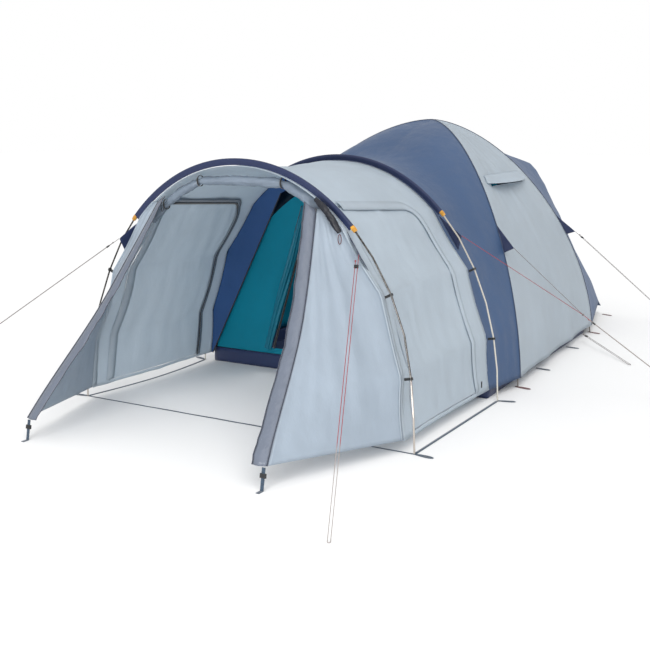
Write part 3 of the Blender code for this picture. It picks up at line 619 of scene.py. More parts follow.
def porch(mats):
    low = turn_at(HEM, porch_size(0.0)[1], HOOP_POWER)
    turns = spread(low, math.pi - low, 131)
    rows = [[porch_point(s, t) for t in turns] for s in spread(-0.010, 1.001, 48)]

    def push(s, t):
        edge = smooth(min(t, 1 - t) / 0.04)
        near = smooth(1 - t / 0.12) + smooth(1 - (1 - t) / 0.12)
        cross = billow(s * 26, t * 3.0, 3.1) * 0.005
        pull = billow(s * 9, t * 9, 8.3) * 0.006
        gather = billow(s * 60, t * 1.2, 1.1) * 0.004 * near
        slant = billow(s * 13 + t * 9, t * 2.0, 4.4) * 0.005
        return edge * (cross + pull + gather + slant)

    cutters = []
    for _, side in SIDES:
        cutters.append(("DIFFERENCE", prism(door_outline(0.003), *sorted((side * 0.42, side * 1.4)))))
    sheet(
        "porch_cloth",
        rows,
        mats["light"],
        "tent",
        ["porch_flysheet"],
        push=push,
        cutters=cutters,
    )


def side_doors(mats):
    for side_name, side in SIDES:
        low = turn_at(HEM, porch_size(0.0)[1], HOOP_POWER)
        top = turn_at(1.36, porch_size(0.0)[1], HOOP_POWER)
        turns = spread(low, top, 60)
        if side < 0:
            turns = [math.pi - t for t in turns]
        rows = [[porch_point(s, t) for t in turns] for s in spread(0.06, 0.90, 40)]
        cutter = prism(door_outline(0.0), *sorted((side * 0.40, side * 1.45)))
        push = wrinkled(5, 11, 0.0065, 4.0 + side, 0.1)
        body = f"side_door_{side_name}"
        sheet(
            f"side_door_cloth_{side_name}",
            rows,
            mats["light"],
            body,
            [body],
            push=push,
            cutters=[("INTERSECT", cutter)],
        )
        zip_line(side_name, side, body, mats)


def zip_line(side_name, side, body, mats):
    """The door's zip: a tape on the door, one on the wall, and a rain flap over them outside."""
    outline = door_outline(0.0)
    path = outline[1:-1]
    dense = []
    for a, b in zip(path, path[1:]):
        steps = max(2, int(math.dist(a, b) / 0.05))
        dense += [(mix(a[0], b[0], i / steps), mix(a[1], b[1], i / steps)) for i in range(steps)]
    dense.append(path[-1])
    for label, shift, width, lift, owner, look in (
        ("door_zip_tape", -0.008, 0.014, -0.0125, body, "black_tape"),
        ("wall_zip_tape", 0.012, 0.018, -0.0120, "tent", "zip_tape"),
        ("zip_rain_flap", 0.006, 0.046, 0.0062, "tent", "light"),
    ):
        rows = []
        for k, (y, z) in enumerate(dense):
            a = dense[max(k - 1, 0)]
            b = dense[min(k + 1, len(dense) - 1)]
            run = Vector((b[0] - a[0], b[1] - a[1])).normalized()
            out = Vector((run.y, -run.x))
            row = []
            for offset in (shift - width / 2, shift, shift + width / 2):
                puff = 0.004 if (label == "zip_rain_flap" and offset == shift) else 0.0
                row.append(wall_point(side, y + out.x * offset, z + out.y * offset, lift + puff))
            rows.append(row)
        made = grid([[put(*p) for p in row] for row in rows], INSIDE)
        piece = finish_mesh(f"{label}_{side_name}", made, mats[look], owner)
        thicken(piece, 0.001, 0.0)
        apply_modifiers(piece)


def hinge_tape(side_name, side, mats):
    """The doubled cloth along the front edge of the door, where it is sewn to the wall."""
    rows = []
    for z in spread(DOOR_FOOT + 0.004, DOOR_TOP_FRONT - 0.010, 40):
        rows.append(
            [put(*wall_point(side, DOOR_FRONT + offset, z, -0.011)) for offset in (-0.034, 0.0, 0.030)]
        )
    piece = finish_mesh(
        f"door_hinge_tape_{side_name}",
        grid(rows, INSIDE),
        mats["light"],
        "tent",
    )
    thicken(piece, 0.001, 0.0)
    apply_modifiers(piece)


# Half the sleeve's section: how far out from the pole, and how far to one side
SLEEVE_UPPER = [
    (0.0118, 0.0),
    (0.0085, 0.0085),
    (-0.001, 0.0108),
    (-0.010, 0.0080),
    (-0.018, 0.0042),
    (-0.0270, 0.0024),
]


def sleeves(mats):
    """The navy pole sleeves, each with a flat sewn edge, a run of puckers and yellow ends."""
    for hoop, half, height, y in (
        ("front", FRONT_HALF, FRONT_HEIGHT, 0.0), ("middle", MIDDLE_HALF, MIDDLE_HEIGHT, MIDDLE_Y)
    ):
        low = turn_at(SLEEVE_END_Z, height, HOOP_POWER)
        made = bmesh.new()
        layer = made.loops.layers.uv.new("metres")
        rings = []
        turns = spread(low, math.pi - low, 120)
        for k, turn in enumerate(turns):
            x, z = superellipse(half, height, turn, HOOP_POWER)
            a, b = superellipse(half, height, turn + 0.01, HOOP_POWER), superellipse(
                half, height, turn - 0.01, HOOP_POWER
            )
            along = Vector((a[0] - b[0], 0, a[1] - b[1])).normalized()
            out = Vector((along.z, 0, -along.x))
            pucker = billow(k * 0.55, 1.7, y)
            fat = 1 + 0.10 * pucker
            shape = SLEEVE_UPPER + [(r, -d) for r, d in reversed(SLEEVE_UPPER[1:])]
            centre = Vector((x, y, z))
            ring = []
            for r, d in shape:
                wave = 0.0012 * billow(k * 0.8, r * 90, 5.0) if r < -0.015 else 0.0
                ring.append(made.verts.new(put(*(centre + out * r + Vector((0, d * fat + wave, 0))))))
            rings.append(ring)
        for k, (first, second) in enumerate(zip(rings, rings[1:])):
            for i in range(len(first)):
                j = (i + 1) % len(first)
                face = made.faces.new((first[i], first[j], second[j], second[i]))
                for loop, (u, v) in zip(face.loops, ((i, k), (i + 1, k), (i + 1, k + 1), (i, k + 1))):
                    loop[layer].uv = (u * 0.01, v * 0.02)
        made.faces.new(rings[0][::-1])
        made.faces.new(rings[-1])
        bmesh.ops.recalc_face_normals(made, faces=made.faces)
        piece = finish_mesh(f"{hoop}_sleeve_cloth", made, mats["navy"], "tent", 60)
        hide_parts(f"{hoop}_hoop_sleeve")
        for side_name, side in SIDES:
            ring_turn = [turn_at(SLEEVE_END_Z - d, height, HOOP_POWER) for d in (-0.004, 0.022)]
            ends = [superellipse(half, height, t, HOOP_POWER) for t in ring_turn]
            (x_top, z_top), (x_foot, z_foot) = ends
            line = [Vector((side * mix(x_top, x_foot, s), y, mix(z_top, z_foot, s))) for s in (0, 0.5, 1)]
            tube(
                f"{hoop}_sleeve_end_{side_name}",
                line,
                0.0135,
                mats["yellow"],
                "tent",
                radii=[0.95, 1.05, 0.9],
                sides=12,
            )


# Dome


def dome_front(mats):
    half, height = porch_size(1.0)
    rows = []
    steps = spread(0, 1, 121)
    low = turn_at(HEM, height, HOOP_POWER)
    low_seam = turn_at(HEM, DOME_HEIGHT + FLY_OUT, DOME_FRONT_POWER)
    for share in spread(0, 1, 44):
        row = []
        for step in steps:
            turn = mix(low, math.pi - low, step)
            x, z = superellipse(half, height, turn, HOOP_POWER)
            reach = mix(hoop_edge(z, half, height), abs(x), smooth((z - 1.38) / 0.07))
            start = Vector((math.copysign(reach, x), MIDDLE_Y - 0.003, z - 0.002))
            end = front_seam(mix(low_seam, math.pi - low_seam, step))
            run = end - start
            end = start + run * (1 - 0.002 / run.length)
            valley = math.exp(-(((share - 0.42) / 0.26) ** 2)) * hump(share) ** 0.5
            dip = 0.115 * valley * math.sin(turn) ** 2
            row.append(mix(start, end, share) - Vector((0, 0, dip)))
        rows.append(row)

    def push(s, t):
        near = smooth(1 - t / 0.45) * smooth(t / 0.03)
        pleat = billow(s * 70, t * 2.2, 2.0) * 0.008 * near * (0.3 + abs(s - 0.5) * 1.6)
        edge = smooth(min(s, 1 - s) / 0.04) * smooth((1 - t) / 0.05) * smooth(t / 0.05)
        return pleat + edge * (billow(s * 8, t * 5, 5.5) * 0.008 + billow(s * 26, t * 4, 9.5) * 0.0025)

    sheet("dome_front_cloth", rows, mats["blue"], "tent", ["dome_front_panel"], push=push)
    for label, seam, power in (
        ("front", front_seam, DOME_FRONT_POWER), ("rear", rear_seam, DOME_REAR_POWER)
    ):
        low = turn_at(HEM, DOME_HEIGHT + FLY_OUT, power)
        line = [seam(t, FLY_OUT + 0.001) for t in spread(low, math.pi - low, 120)]
        tube(f"dome_{label}_piping", line, 0.0032, mats["piping"], "tent", sides=8)


def side_at(side, share, turn, grow=FLY_OUT):
    return mix(dome_at(side, turn, grow), dome_at(-side, math.pi - turn, grow), share)


def side_turn(z, share):
    low, high = 0.0, math.pi / 2
    for _ in range(30):
        middle = (low + high) / 2
        low, high = (middle, high) if side_at(1, share, middle).z < z else (low, middle)
    return (low + high) / 2


def dome_sides(mats):
    for side_name, side in SIDES:
        rows = []
        low_front, low_rear = side_turn(HEM, 0.0), side_turn(HEM, 1.0)
        for step in spread(0, 1, 70):
            ease = 1 - (1 - step) ** 1.25
            front = dome_at(side, mix(low_front, math.pi / 2 - 0.012, ease), FLY_OUT)
            rear = dome_at(-side, math.pi - mix(low_rear, math.pi / 2 - 0.012, ease), FLY_OUT)
            gap = 0.002 / (rear - front).length
            row = [mix(front, rear, share) for share in spread(gap, 1 - gap, 60)]
            rows.append(row if side < 0 else row[::-1])
        flip = side > 0

        def push(s, t, flip=flip, seed=side):
            along = 1 - s if flip else s
            edge = smooth(min(s, 1 - s) / 0.06) * smooth((1 - t) / 0.1)
            hem = 1 - smooth(t / 0.25)
            scallop = -0.018 * hem * abs(hump(along * 3)) ** 1.2 * edge
            pulls = billow(along * 14 + t * 5, t * 2.2, 6.0 + seed) * 0.0055 * edge
            broad = billow(along * 3.5, t * 3.5, 2.0 + seed) * 0.012 * edge
            sag = -0.016 * hump(along) * hump(clamp(t * 1.02))
            return scallop + pulls + broad + sag

        first = side_at(side, 0.18, side_turn(1.30, 0.5))
        last = side_at(side, 0.84, side_turn(1.30, 0.5))
        slot = [(first.y, 1.285), (last.y, 1.285), (last.y, 1.325), (first.y, 1.325)]
        cutter = prism(slot, *sorted((side * 0.3, side * 1.2)))
        sheet(
            f"dome_side_cloth_{side_name}",
            rows,
            mats["light"],
            "tent",
            [f"dome_side_panel_{side_name}"],
            push=push,
            cutters=[("DIFFERENCE", cutter)],
        )


def bell_half(z):
    """Half the rear bell's width at height z."""
    for (x_low, z_low), (x_high, z_high) in zip(BELL, BELL[1:]):
        if z <= z_high:
            return mix(x_low, x_high, (z - z_low) / (z_high - z_low))
    return 0.0


def bell_at(z, side):
    return Vector((side * bell_half(z), mix(REAR_Y, BROW_Y, (z / BELL_HEIGHT) ** 0.6), z))


def bell_line(low, count):
    """Points from height low on the right, over the bell's top and down to the same on the left."""
    high = BELL_HEIGHT - 0.0005
    heights = [mix(low, high, 1 - (1 - s) ** 1.6) for s in spread(0, 1, count // 2 + 1)]
    right, left = ([bell_at(z, side) for z in heights[:-1]] for side in (1, -1))
    return right + [bell_at(high, 0)] + left[::-1]


def dome_rear(mats):
    steps = spread(0, 1, 97)
    low = turn_at(HEM, DOME_HEIGHT + FLY_OUT, DOME_REAR_POWER)
    bell = bell_line(HEM + 0.05, len(steps))
    arcs = [rear_seam(mix(low, math.pi - low, s)) for s in steps]
    rows = []
    for share in spread(0, 1, 34):
        row = []
        for start, end in zip(arcs, bell):
            begin = mix(start, end, 0.002 / (end - start).length)
            dip = 0.030 * hump(share) * smooth((start.z - 0.2) / 0.5)
            row.append(mix(begin, end, share) - Vector((0, 0, dip)))
        rows.append(row)
    for share in spread(0, 1, 24)[1:]:
        row = []
        for p in bell:
            foot = Vector((p.x, REAR_Y + 0.02, HEM))
            row.append(mix(p, foot, share) + Vector((0, -0.03 * hump(share) * smooth(p.z), 0)))
        rows.append(row)

    def push(s, t):
        edge = smooth(min(s, 1 - s) / 0.03) * smooth(t / 0.05) * smooth((1 - t) / 0.03)
        broad = billow(s * 9, t * 4, 1.5) * 0.010
        return edge * (broad + billow(s * 30, t * 4, 3.5) * 0.003)

    sheet("dome_rear_cloth", rows, mats["blue"], "tent", ["dome_rear_panel"], push=push)


VENT_SHARES = (0.10, 0.92)
VENT_TOP, VENT_BRIM, VENT_LIFT = 1.36, 1.27, 0.055


def vent_out(side):
    middle = [side_at(side, 0.5, side_turn(z, 0.5), 0.020) for z in (VENT_BRIM, VENT_TOP)]
    run = side_at(side, 0.9, side_turn(1.3, 0.9), 0.020) - side_at(side, 0.1, side_turn(1.3, 0.1), 0.020)
    normal = run.cross(middle[1] - middle[0]).normalized()
    return normal if normal.x * side > 0 else -normal


def vent_hoods(mats):
    for side_name, side in SIDES:
        out = vent_out(side)
        ends = [
            [side_at(side, s, side_turn(z, s), 0.020) for s in VENT_SHARES] for z in (VENT_TOP, VENT_BRIM)
        ]
        rows = []
        for step in spread(0, 1, 14):
            row = []
            for share in spread(0, 1, 60):
                top, brim = mix(*ends[0], share), mix(*ends[1], share)
                open_up = hump(share) ** 0.6
                point = mix(top, brim, step * mix(0.55, 1.0, open_up)) + out * mix(
                    0.006, VENT_LIFT * open_up, step
                )
                row.append(point)
            rows.append(row if side > 0 else row[::-1])
        body = f"vent_hood_{side_name}"
        sheet(
            f"vent_hood_cloth_{side_name}",
            rows,
            mats["light"],
            body,
            [body],
            thickness=0.0016,
            push=wrinkled(14, 2, 0.002, 3.3, 0.1),
        )


# Wings and rolled door


WING_TOP, WING_CORNER = Vector((0.552, -0.030, 1.268)), Vector((0.805, -0.835, 0.120))
WING_BOW = Vector((0.012, 0.030, 0.0))


def wing_grid(side):
    rows = []
    for share in spread(0, 1, 56):
        z = mix(WING_TOP.z, HEM + 0.006, share)
        edge = Vector((hoop_edge(z, *porch_size(0.0)) + 0.001, -0.011, z))
        free = mix(WING_TOP, WING_CORNER, share) + WING_BOW * hump(share)
        row = []
        for s in spread(0, 1, 36):
            belly = -0.020 * hump(s) * hump(share)
            p = mix(edge, free, s) + Vector((belly, 0, 0))
            row.append(Vector((side * p.x, p.y, p.z)))
        rows.append(row if side < 0 else row[::-1])
    return rows


def wings(mats):
    for side_name, side in SIDES:
        rows = wing_grid(side)
        body = f"porch_wing_{side_name}"
        flip = side > 0

        def push(s, t, flip=flip, seed=side):
            along = 1 - s if flip else s
            edge = smooth(min(s, 1 - s, t, 1 - t) / 0.08)
            drape = billow(along * 7 + t * 2.5, t * 1.6, 2.5 + seed) * 0.011
            small = billow(along * 19 + t * 7, t * 4, 7.5 + seed) * 0.0028
            return edge * (drape + small)

        hinge_tape(side_name, side, mats)
        sheet(
            f"wing_cloth_{side_name}",
            rows,
            mats["wing"],
            body,
            [body],
            push=push,
        )
        flap_rows = []
        for k, row in enumerate(rows):
            t = k / (len(rows) - 1)
            base = row[0] if side > 0 else row[-1]
            width = mix(0.066, 0.078, t)
            rise = 0.038 * (1 - t) ** 2
            wave = 0.014 * billow(t * 11, 3.0, side) + 0.008 * billow(t * 37, 1.0, side)
            line = []
            for s in spread(0, 1, 8):
                curl = 0.012 * hump(s) + wave * s
                line.append(base + Vector((-side * width * s, -0.012 * s - curl - 0.002, rise * s)))
            flap_rows.append(line if side < 0 else line[::-1])
        sheet(
            f"storm_flap_{side_name}",
            flap_rows,
            mats["flap"],
            body,
            thickness=0.0016,
        )
        ahead = Vector((0, -0.0025, 0))
        free, seam = (0, -1) if side > 0 else (-1, 0)
        for label, column, width in (
            ("flap_binding", -1 - free, 0.007), ("flap_seam_tape", -1 - seam, 0.006)
        ):
            path = [row[column] + ahead for row in flap_rows]
            ribbon(f"{label}_{side_name}", path, (1, 0, 0), width, mats["navy_tape"], body)
        wall = [
            (side * (hoop_edge(z, *porch_size(0.0)) - 0.004), -0.004, z) for z in spread(
                HEM + 0.01, WING_TOP.z, 40
            )
        ]
        ribbon(
            f"hoop_seam_tape_{side_name}",
            wall,
            (0, 1, 0),
            0.050,
            mats["light"],
            "tent",
            thickness=0.001,
        )


def rolled_door(mats):
    """The front door rolled up under the hoop and gathered by its ties."""
    left = [
        (-0.665, 1.150),
        (-0.640, 1.174),
        (-0.550, 1.252),
        (-0.430, 1.330),
        (-0.290, 1.394),
        (-0.100, 1.402),
    ]
    line = left + [(-x, z) for x, z in reversed(left)]
    dense, radii = [], []
    ties = (-0.55, -0.29, 0.29, 0.55)
    for (xa, za), (xb, zb) in zip(line, line[1:]):
        for i in range(8):
            s = i / 8
            x = mix(xa, xb, s)
            dense.append(Vector((x, 0.045, mix(za, zb, s))))
            squeeze = sum(math.exp(-(((x - tie) / 0.020) ** 2)) for tie in ties)
            radii.append(clamp(1.0 - 0.45 * squeeze - 0.15 * smooth((abs(x) - 0.55) / 0.10), 0.35, 1.0))

    def ripple(s, a):
        spiral = 0.10 * math.cos(a * 2 + s * 9)
        crumple = 0.26 * billow(s * 60, math.cos(a) * 1.6, math.sin(a) * 1.6)
        return 1 + spiral + crumple

    piece = tube(
        "rolled_front_door_cloth",
        dense,
        0.027,
        mats["rolled"],
        "tent",
        radii=radii,
        sides=28,
        ripple=ripple,
    )
    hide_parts("rolled_front_door")
    for k, x in enumerate(ties):
        z = 1.396 if abs(x) < 0.4 else 1.252
        ring = [
            (x, 0.045 + 0.031 * math.cos(a), z + 0.031 * math.sin(a)) for a in spread(0, math.tau, 17)
        ]
        ribbon(
            f"roll_tie_{k}",
            ring,
            (1, 0, 0),
            0.010,
            mats["black_tape"],
            "tent",
            inside=put(x, 0.045, z),
        )
    bundle = [
        (0.550, -0.040, 1.322), (0.610, -0.048, 1.275), (0.665, -0.052, 1.212), (0.712, -0.052, 1.140)
    ]
    fine = [
        Vector(mix(Vector(a), Vector(b), i / 8)) for a, b in zip(bundle, bundle[1:]) for i in range(8)
    ]
    gathered = [0.55 + 0.5 * hump(k / len(fine)) for k in range(len(fine))]
    tube(
        "door_edge_bundle",
        fine,
        0.019,
        mats["dark_roll"],
        "porch_wing_right",
        radii=gathered,
        sides=20,
        ripple=ripple,
    )
    for label, start, mat in (
        ("left_pull", (-0.553, 0.010, 1.262), "black_tape"),
        ("right_pull", (0.712, -0.054, 1.140), "red_web"),
    ):
        across, down = spread(0, math.tau, 19), 0.026
        loop = [
            (
                start[0] + 0.010 * math.sin(a), start[1] - 0.004, start[2] - down + down * math.cos(a)
            ) for a in across
        ]
        body = "porch_wing_right" if label == "right_pull" else "tent"
        tube(f"roll_{label}_loop", loop, 0.0022, mats[mat], body, sides=8)


# Inner tent and divider

INNER_FRONT_Y, TUB = 1.245, 0.105
INNER_SECTIONS = (
    (INNER_FRONT_Y, 1.070, 1.360, 1.75),
    (1.60, 1.060, 1.380, 1.75),
    (2.10, 1.045, 1.450, 1.70),
    (2.60, 1.030, 1.690, 1.65),
    (3.00, 1.010, 1.500, 1.60),
    (3.35, 0.990, 1.180, 1.60),
    (3.58, 0.975, 0.700, 1.60),
    (3.635, 0.970, 0.160, 1.60),
)


def flat_wall(name, outer, hole, y, mat, nodes, thickness=0.0014):
    """An upright flat wall with a doorway in it."""
    curve = bpy.data.curves.new(name, "CURVE")
    curve.dimensions = "2D"
    curve.fill_mode = "BOTH"
    curve.extrude = thickness / 2
    outlines = [outer + hole] if name.startswith("divider") else [outer, hole]
    for outline in outlines:
        spline = curve.splines.new("POLY")
        spline.points.add(len(outline) - 1)
        for point, (u, v) in zip(spline.points, outline):
            point.co = (u, v, 0.0, 1.0)
        spline.use_cyclic_u = True
    holder = bpy.data.objects.new(name + "_outline", curve)
    bpy.context.scene.collection.objects.link(holder)
    holder.matrix_world = Matrix.Translation(put(0, y, 0)) @ Matrix.Rotation(math.pi / 2, 4, "X")
    bpy.context.view_layer.update()
    graph = bpy.context.evaluated_depsgraph_get()
    mesh = bpy.data.meshes.new_from_object(holder.evaluated_get(graph))
    mesh.transform(holder.matrix_world)
    bpy.data.objects.remove(holder)
    work = bmesh.new()
    work.from_mesh(mesh)
    bmesh.ops.remove_doubles(work, verts=work.verts, dist=0.00002)
    layer = work.loops.layers.uv.verify()
    for face in work.faces:
        for loop in face.loops:
            loop[layer].uv = (loop.vert.co.x, loop.vert.co.z)
    bpy.data.meshes.remove(mesh)
    piece = finish_mesh(name, work, mat, "tent")
    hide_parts(*nodes)
    return piece


def divider(mats):
    half, height = (size - 0.006 for size in porch_size(1.0))
    low = turn_at(HEM, height, HOOP_POWER)
    outer = []
    for t in spread(low, math.pi - low, 61):
        x, z = superellipse(half, height, t, HOOP_POWER)
        x = math.copysign(hoop_edge(z, half, height), x) if z < 1.3 else x
        outer.append((x, z))
    doorway = [(-1.085, HEM), (-0.46, 1.26), (-0.41, 1.285), (0.41, 1.285), (0.46, 1.26), (1.085, HEM)]
    piece = flat_wall(
        "divider_cloth",
        outer,
        doorway,
        MIDDLE_Y - 0.001,
        # painted light: the divider is drawn in a lighter, bluer copy of the fly's blue cloth
        mats["blue_painted_light"],
        ["divider_wall"],
    )
    for side_name, side in SIDES:
        edge = [
            Vector((side * 1.083, MIDDLE_Y - 0.004, HEM)), Vector((side * 0.459, MIDDLE_Y - 0.004, 1.262))
        ]
        line = [mix(edge[0], edge[1], s) for s in spread(0, 1, 12)]
        tube(f"divider_edge_{side_name}", line, 0.004, mats["black_tape"], "tent", sides=8)


def inner_tent(mats):
    rows = []
    stations = []
    for a, b in zip(INNER_SECTIONS, INNER_SECTIONS[1:]):
        for i in range(6):
            s = i / 6
            stations.append(tuple(mix(p, q, smooth(s) * 0.3 + s * 0.7) for p, q in zip(a, b)))
    stations.append(INNER_SECTIONS[-1])
    for y, half, height, power in stations:
        low = turn_at(TUB + 0.004, height, power)
        turns = spread(low, math.pi - low, 61)
        rows.append([Vector((x, y, z)) for x, z in (superellipse(half, height, t, power) for t in turns)])
    sheet(
        "inner_canopy_cloth",
        rows,
        mats["teal"],
        "tent",
        ["inner_canopy"],
        thickness=0.0008,
        push=wrinkled(9, 7, 0.010, 1.2, 0.05),
    )
    y, half, height, power = INNER_SECTIONS[0]
    low = turn_at(TUB + 0.004, height, power)
    turns = spread(low, math.pi - low, 61)
    outer = [superellipse(half, height, t, power) for t in turns]
    doorway = [
        (-0.606, 0.150),
        (-0.262, 1.195),
        (-0.235, 1.215),
        (0.235, 1.215),
        (0.262, 1.195),
        (0.606, 0.150),
    ]
    piece = flat_wall(
        "inner_front_wall",
        outer,
        doorway,
        INNER_FRONT_Y - 0.001,
        mats["teal"],
        [],
    )
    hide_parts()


def tub(mats):
    """The tub floor: a waterproof base with low walls."""
    half_front, half_rear, front, rear = 1.084, 0.984, INNER_FRONT_Y - 0.009, 3.647
    rows = []
    for share in spread(0, 1, 40):
        half = mix(half_front, half_rear, share)
        y = mix(front, rear, share)
        row = []
        for s in spread(0, 1, 61):
            if s < 0.05:
                p = Vector((-half, y, mix(TUB, 0.0012, s / 0.05)))
            elif s > 0.95:
                p = Vector((half, y, mix(0.0012, TUB, (s - 0.95) / 0.05)))
            else:
                p = Vector((mix(-half, half, (s - 0.05) / 0.90), y, 0.0012))
            row.append(p)
        rows.append(row)

    def push(s, t):
        ripple = billow(s * 30, t * 26, 4.0)
        return -0.004 * max(0.0, ripple) if 0.06 < s < 0.94 and 0.02 < t < 0.98 else 0.0

    floor = sheet(
        "tub_floor_cloth",
        rows,
        mats["tub"],
        "tent",
        ["inner_tub_floor"],
        push=push,
        inside=put(0, 2.4, 5.0),
    )
    floor.location.z = 0.0002
    for label, y, half in (("front", front, half_front), ("rear", rear, half_rear)):
        rows = [[Vector((x, y, z)) for x in spread(-half, half, 40)] for z in spread(0.0016, TUB, 5)]
        inside = put(0, y + (1 if label == "front" else -1), 0.05)
        sheet(
            f"tub_wall_{label}",
            rows,
            mats["tub"],
            "tent",
            push=wrinkled(12, 1, 0.004, 3.0, 0.02),
            inside=inside,
        )


def inner_door(mats):
    """The inner door, unzipped and gathered down the left of its doorway, with both zip tapes."""
    foot, head = Vector((-0.585, 1.210, 0.150)), Vector((-0.262, 1.210, 1.175))
    line = [mix(foot, head, s) for s in spread(0, 1, 60)]
    radii = [0.75 + 0.35 * hump(s) - 0.15 * s for s in spread(0, 1, 60)]

    def ripple(s, a):
        pleats = 0.20 * math.cos(a * 5 + 1.5 * math.sin(s * 7))
        return 1 + pleats + 0.15 * billow(s * 18, math.cos(a), math.sin(a))

    # The gathered door uses a darker copy of the teal canopy cloth: painted shade in its folds.
    piece = tube(
        "inner_door_cloth",
        line,
        0.027,
        mats["teal_painted_shade"],
        "tent",
        radii=radii,
        sides=40,
        ripple=ripple,
    )
    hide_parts("inner_door")
    for label, shift in (("outer", -0.036), ("inner", 0.036)):
        path = [p + Vector((shift, 0.022, 0)) for p in line]
        ribbon(
            f"inner_zip_{label}",
            path,
            (1, 0, -0.3),
            0.016,
            mats["black_tape"],
            "tent",
            inside=put(0, 9, 0.5),
        )


# Straps, loops and guy lines


def ground(mats):
    """Webbing that lies on the ground: it replaces the plain CAD straps."""
    dark = mats["strap"]
    line = [Vector((x, 0.0, 0.0006 + 0.004 * abs(billow(x * 3, 0, 1)))) for x in spread(-1.19, 1.19, 60)]
    piece = ribbon("front_cross_strap", line, (0, 1, 0), 0.012, dark, "tent", thickness=0.0014)
    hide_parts("front_ground_strap")
    for side_name, side in SIDES:
        slack = 0.05 if side < 0 else 0.0
        line = []
        for s in spread(0, 1, 40):
            x = side * (mix(1.172, MIDDLE_HALF, s) - slack * hump(s))
            line.append(Vector((x, mix(0.010, MIDDLE_Y - 0.01, s), 0.0006)))
        piece = ribbon(f"side_strap_{side_name}", line, (1, 0, 0), 0.018, dark, "tent", thickness=0.0014)
        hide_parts(f"side_ground_strap_{side_name}")
        places = (
            ("front_foot", Vector((side * 1.172, 0.0, 0)), Vector((side * 1.285, -0.014, 0)), dark, []),
            (
                "middle_foot",
                Vector((side * 1.160, MIDDLE_Y, 0)),
                Vector((side * 1.265, MIDDLE_Y + 0.032, 0)),
                dark,
                [],
            ),
            (
                "dome_front_foot",
                Vector((side * 1.130, 1.618, 0)),
                Vector((side * 1.240, 1.594, 0)),
                mats["red_web"],
                [f"dome_front_foot_tab_{side_name}"],
            ),
            (
                "dome_rear_foot",
                Vector((side * 1.010, 3.672, 0)),
                Vector((side * 1.118, 3.638, 0)),
                mats["red_web"],
                [f"dome_rear_foot_tab_{side_name}"],
            ),
            ("hem_front", Vector((side * 1.075, 2.190, 0)), Vector((side * 1.180, 2.173, 0)), dark, []),
            ("hem_rear", Vector((side * 1.040, 2.998, 0)), Vector((side * 1.139, 2.981, 0)), dark, []),
            (
                "rear_corner",
                Vector((side * 0.885, 4.555, 0)),
                Vector((side * 0.976, 4.515, 0)),
                mats["red_web"],
                [],
            ),
        )
        for label, start, end, look, nodes in places:
            piece = peg_loop(f"{label}_loop_{side_name}", start, end, look)
            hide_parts(*nodes)


def peg_loop(name, start, end, mat, width=0.028, base=0.0022):
    """A long flat loop of webbing on the ground, open in the middle for its peg."""
    along = (end - start).normalized()
    across = Vector((-along.y, along.x, 0))
    length = (end - start).length
    path = []
    for s in spread(0, 1, 25):
        a = math.tau * s
        out = (1 - math.cos(a)) / 2
        beyond = along * length * out
        aside = across * width / 2 * math.sin(a) * (0.35 + 0.65 * out)
        path.append(start + beyond + aside + Vector((0, 0, base)))
    rows = []
    for k, p in enumerate(path):
        tangent = path[(k + 1) % 24] - path[(k - 1) % 24]
        side = Vector((-tangent.y, tangent.x, 0)).normalized() * 0.0045
        rows.append([put(*(p - side)), put(*(p + side))])
    made = grid(rows, INSIDE - Vector((0, 0, 60)))
    bmesh.ops.remove_doubles(made, verts=made.verts, dist=0.0002)
    piece = finish_mesh(name, made, mat, "tent")
    thicken(piece, 0.0018, 1.0)
    return apply_modifiers(piece)


FRONT_GUY = Vector((0.836, -0.007, 1.040))
MIDDLE_GUY = Vector((0.884, 1.235, 1.030))
DOME_FRONT_GUY = Vector((1.022, 1.800, 0.902))
DOME_REAR_GUY = Vector((0.905, 3.535, 0.858))
LOW_GUY = Vector((1.085, 3.262, 0.070))
KNOT = Vector((1.568, 1.600, 0.530))
GUY_LINES = {
    "front_guy_line_right": ((FRONT_GUY,), Vector((1.379, -1.215, 0.004)), 0.085, 0.30),
    "front_guy_line_left": (
        (Vector((-FRONT_GUY.x, FRONT_GUY.y, FRONT_GUY.z)),), Vector((-1.868, -1.146, 0.004)), 0.085, 2.0
    ),
    "middle_guy_line_right": ((MIDDLE_GUY, KNOT), Vector((2.287, 1.737, 0.004)), 0.085, 0.50),
    "dome_rear_guy_line_right": ((DOME_REAR_GUY,), Vector((1.525, 4.517, 0.004)), 0.085, 2.0),
    "low_guy_line_right": ((LOW_GUY,), Vector((1.631, 2.631, 0.004)), 0.085, 2.0),
}
TAIL = 0.040


def guy_route(starts, peg, runner):
    last = starts[-1]
    along = (peg - last).normalized()
    beside = along.cross(Vector((0, 0, 1))).normalized()
    turn_r = STRAND_GAP / 2
    line = []
    for first, second in zip(starts, starts[1:]):
        line += [mix(first, second, s) for s in (0.0, 0.25, 0.5, 0.75, 0.985)]
    line += [mix(last, peg, s) for s in spread(0.012 if len(starts) > 1 else 0.0, 1, 9)]
    centre = peg + beside * turn_r
    flat = Vector((along.x, along.y, 0)).normalized()
    for step in spread(0, math.pi, 7)[1:]:
        line.append(centre - beside * turn_r * math.cos(step) + flat * turn_r * math.sin(step))
    back = (peg - last).length - runner + TAIL
    line += [peg + beside * STRAND_GAP - along * back * s for s in spread(0, 1, 8)[1:]]
    return line


def cord(name, line, mat, nodes):
    curve = bpy.data.curves.new(name, "CURVE")
    curve.dimensions = "3D"
    curve.bevel_depth = CORD_R
    curve.bevel_resolution = 2
    curve.use_fill_caps = True
    spline = curve.splines.new("POLY")
    spline.points.add(len(line) - 1)
    for point, place in zip(spline.points, line):
        point.co = (*set_out(*place), 1.0)
    curve.materials.append(mat)
    piece = bpy.data.objects.new(name, curve)
    bpy.context.scene.collection.objects.link(piece)
    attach(piece, "tent")
    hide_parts(*nodes)
    return piece


